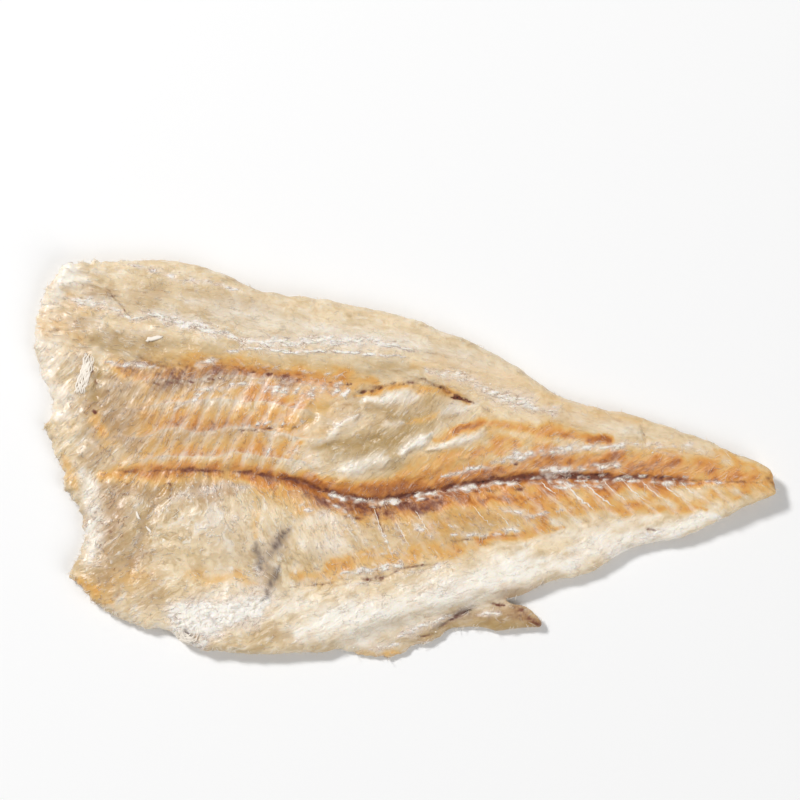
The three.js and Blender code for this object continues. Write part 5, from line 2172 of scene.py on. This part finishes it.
def rib(foot: float, length: float, lean: float = 1.1, width: float = 0.34) -> Thread:
    """Return a thread that leaves the spine at a foot and leans toward the tail."""
    start = float(SPINE(np.array([foot]))[0]) - 0.6
    middle = (foot + 0.4 * lean * length, start - 0.5 * length)
    return Thread(((foot, start), middle, (foot + lean * length, start - length)), width)


def curl(centre: Point, radius: float, start: float, end: float, width: float) -> Thread:
    """Return a strand bent round a centre from one angle in degrees to another."""
    turns = np.radians(np.linspace(start, end, 7))
    path = zip(centre[0] + radius * np.cos(turns), centre[1] + 0.8 * radius * np.sin(turns))
    return Thread(tuple(path), width, lift=0.12 * radius, uneven=0.2)


def split_sliver(place: int) -> Thread:
    """Return one of the slivers that lie side by side at the shoulder end, counted from the left."""
    path = (
        (-107.4 + 0.55 * place, 35.0 - 0.3 * place),
        (-109.0 + 0.6 * place, 28.5),
        (-111.2 + 0.65 * place, 21.0),
    )
    return Thread(path, 0.95, 0.4, 0.3 - 0.05 * place, 0.35)


RIBS = tuple(rib(foot, length) for foot, length in (
    (46.0, 4.5), (53.0, 9.0), (60.0, 8.0), (67.0, 7.0), (73.5, 6.8), (80.0, 6.2), (86.5, 5.6), (93.0, 4.6),
)) + (
    Thread(((-10.5, -17.0), (-8.5, -23.0), (-4.5, -32.0)), 0.26),
    Thread(((-3.0, -21.5), (1.5, -30.5)), 0.26),
    Thread(((3.5, -18.0), (8.5, -26.5)), 0.3),
    Thread(((23.0, -17.0), (29.0, -23.5)), 0.3),
    Thread(((32.0, -19.5), (35.5, -24.0)), 0.3),
    Thread(((54.5, -9.0), (58.0, -13.5), (64.0, -18.5)), 0.6),
    Thread(((61.0, -9.5), (66.0, -14.0), (70.5, -17.0)), 0.5),
)
SLIVERS = tuple(split_sliver(place) for place in range(6)) + (
    Thread(((-87.5, 39.0), (-81.5, 40.5)), 1.5, 0.25, 0.2, 0.3),
    Thread(((-90.0, -18.5), (-88.5, -21.5)), 0.9, 0.3, 0.1, 0.2),
    Thread(((-86.5, -23.5), (-85.0, -26.0)), 0.9, 0.3, 0.1, 0.2),
)
TUFT_HOLE = (-72.2, -59.0)
TUFT = tuple(
    curl(TUFT_HOLE, 1.3 + 0.3 * layer, 165.0 + 9.0 * (layer % 3), 345.0 - 14.0 * (layer % 4), 0.42)
    for layer in range(11)
)


class Threads:
    """Threads that lie on the flesh, as one mesh."""

    SEED = 53
    STEP = 0.6
    WANDER = 0.16
    FEWEST_STOPS = 5
    SWELLS = (-1.0, 0.8)
    LEAST_SWELL = 0.12
    BLUNT_END = 0.03
    PROUD = 0.3
    SIDES = 6

    def __init__(self, face: BVHTree) -> None:
        """Keep the face to lie on and seed the wander."""
        self.face = face
        self.rng = np.random.default_rng(self.SEED)

    def build(self, name: str, threads: tuple[Thread, ...]) -> Piece:
        """Return the threads as one plain mesh of the given name.

        Args:
            name: Name of the piece.
            threads: The threads.

        Returns:
            The piece.
        """
        points: list[Array] = []
        faces: list[tuple[int, ...]] = []
        for thread in threads:
            spots, thread_faces = self._thread(thread)
            base = sum(len(part) for part in points)
            points.append(spots)
            faces += [tuple(base + place for place in face) for face in thread_faces]
        return plain_object(name, mesh_of(name, np.vstack(points), faces))

    def _thread(self, thread: Thread) -> tuple[Array, list]:
        """Return the points and faces of one uneven thread.

        Args:
            thread: The thread.

        Returns:
            Its points and faces.
        """
        corners = np.array(thread.path)
        travel = travel_along(corners)
        stops = np.linspace(0.0, travel[-1], max(self.FEWEST_STOPS, int(travel[-1] / self.STEP)))
        wander = self.WANDER * self.rng.normal(size=(2, len(stops)))
        x, y = points_along(corners, travel, stops) + wander
        share = stops / travel[-1]
        uneven = thread.uneven * self.rng.uniform(*self.SWELLS, len(stops))
        swell = np.clip(1.0 + uneven, self.LEAST_SWELL, None)
        taper = np.sqrt(np.clip(4.0 * share * (1.0 - share), self.BLUNT_END, 1.0))
        radii = 0.5 * thread.width * swell * taper
        z = self._heights(x, y) + thread.lift + self.PROUD * thread.flat * radii
        return tube(np.column_stack([x, y, z]), radii, self.SIDES, thread.flat)

    def _heights(self, x: Array, y: Array) -> Array:
        """Return the height of the flesh at spots, carried on from the last one past its rim.

        Args:
            x: Along the fillet.
            y: Across it.

        Returns:
            One height a spot.
        """
        down = Vector((0.0, 0.0, -1.0))
        hits = [self.face.ray_cast(Vector((*spot, 1.0)), down)[0] for spot in zip(x * MM, y * MM)]
        found = [place for place, hit in enumerate(hits) if hit]
        return np.interp(np.arange(len(hits)), found, [hits[place].z / MM for place in found])


# Studio

@dataclass(frozen=True)
class Lamp:
    """A square light that faces the fillet: its place and side in metres, its power in watts."""

    name: str
    place: tuple[float, float, float]
    side: float
    power: float


@dataclass(frozen=True)
class Studio:
    """A pale floor, a broad light from the upper left, a fill, and a camera almost overhead."""

    floor: Colour = paint(252, 252, 252)
    floor_half: float = 1500.0
    floor_roughness: float = 0.9
    key: Lamp = Lamp("key", (-1.3, 1.1, 1.7), 0.4, 42.0)
    fill: Lamp = Lamp("fill", (1.4, -1.2, 1.5), 1.6, 21.0)
    sky: Colour = (1.0, 1.0, 1.0, 1.0)
    sky_strength: float = 0.26
    sensor: float = 36.0
    camera_elevation: float = 84.0
    camera_distance: float = 0.9
    view_width: float = 0.27
    target: tuple[float, float, float] = (-0.0015, 0.0192, 0.004)

    def build(self) -> None:
        """Set up the floor, the lights and the camera."""
        self._floor()
        for lamp in (self.key, self.fill):
            self._light(lamp)
        world = bpy.data.worlds.new("studio")
        bpy.context.scene.world = world
        world.use_nodes = True
        backdrop = world.node_tree.nodes["Background"]
        Graph(world.node_tree).fill(backdrop, {"Color": self.sky, "Strength": self.sky_strength})
        bpy.context.scene.view_settings.view_transform = "Standard"
        self._camera()

    def _floor(self) -> None:
        """Lay the floor under the fillet."""
        half = self.floor_half
        corners = np.array([(-half, -half, 0.0), (half, -half, 0.0), (half, half, 0.0), (-half, half, 0.0)])
        floor = plain_object("floor", mesh_of("floor", corners, [(0, 1, 2, 3)]))
        material, graph, shader = new_material("floor")
        graph.fill(shader, {"Base Color": self.floor, "Roughness": self.floor_roughness})
        floor.data.materials.append(material)

    @staticmethod
    def _light(lamp: Lamp) -> None:
        """Hang a light.

        Args:
            lamp: The light.
        """
        light = bpy.data.lights.new(lamp.name, "AREA")
        light.size = lamp.side
        light.energy = lamp.power
        holder = bpy.data.objects.new(lamp.name, light)
        holder.location = lamp.place
        holder.rotation_euler = (-Vector(lamp.place)).to_track_quat("-Z", "Y").to_euler()
        bpy.context.scene.collection.objects.link(holder)

    def _camera(self) -> None:
        """Set the camera almost overhead, leaning a little toward the belly edge."""
        camera = bpy.data.cameras.new("camera")
        camera.sensor_width = self.sensor
        camera.lens = camera.sensor_width * self.camera_distance / self.view_width
        eye = bpy.data.objects.new("camera", camera)
        tilt = math.radians(self.camera_elevation)
        away = Vector((0.0, -math.cos(tilt), math.sin(tilt)))
        eye.location = Vector(self.target) + self.camera_distance * away
        eye.rotation_euler = (-away).to_track_quat("-Z", "Y").to_euler()
        bpy.context.scene.collection.objects.link(eye)
        bpy.context.scene.camera = eye


def main() -> None:
    """Build every piece in order, dress each and tie it to the fillet's body, and set the studio."""
    logging.basicConfig(level=logging.INFO, format="%(name)s: %(message)s")
    solid = Solid(frame["nodes"][NODE])
    flesh = Flesh(solid, FleshSizes()).build()
    fibre = FibreFinish().material()
    pieces = [Scatter(kind, fibre).build(flesh) for kind in STREWN]
    face = BVHTree.FromObject(flesh, bpy.context.evaluated_depsgraph_get())
    for name, threads in (("rib_threads", RIBS), ("slivers", SLIVERS), ("tuft", TUFT)):
        pieces.append(Threads(face).build(name, threads))
    hand_in(flesh, FleshFinish().material())
    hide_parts(NODE)
    for piece in pieces:
        hand_in(piece, fibre)
    Studio().build()


if __name__ == "__main__":
    main()
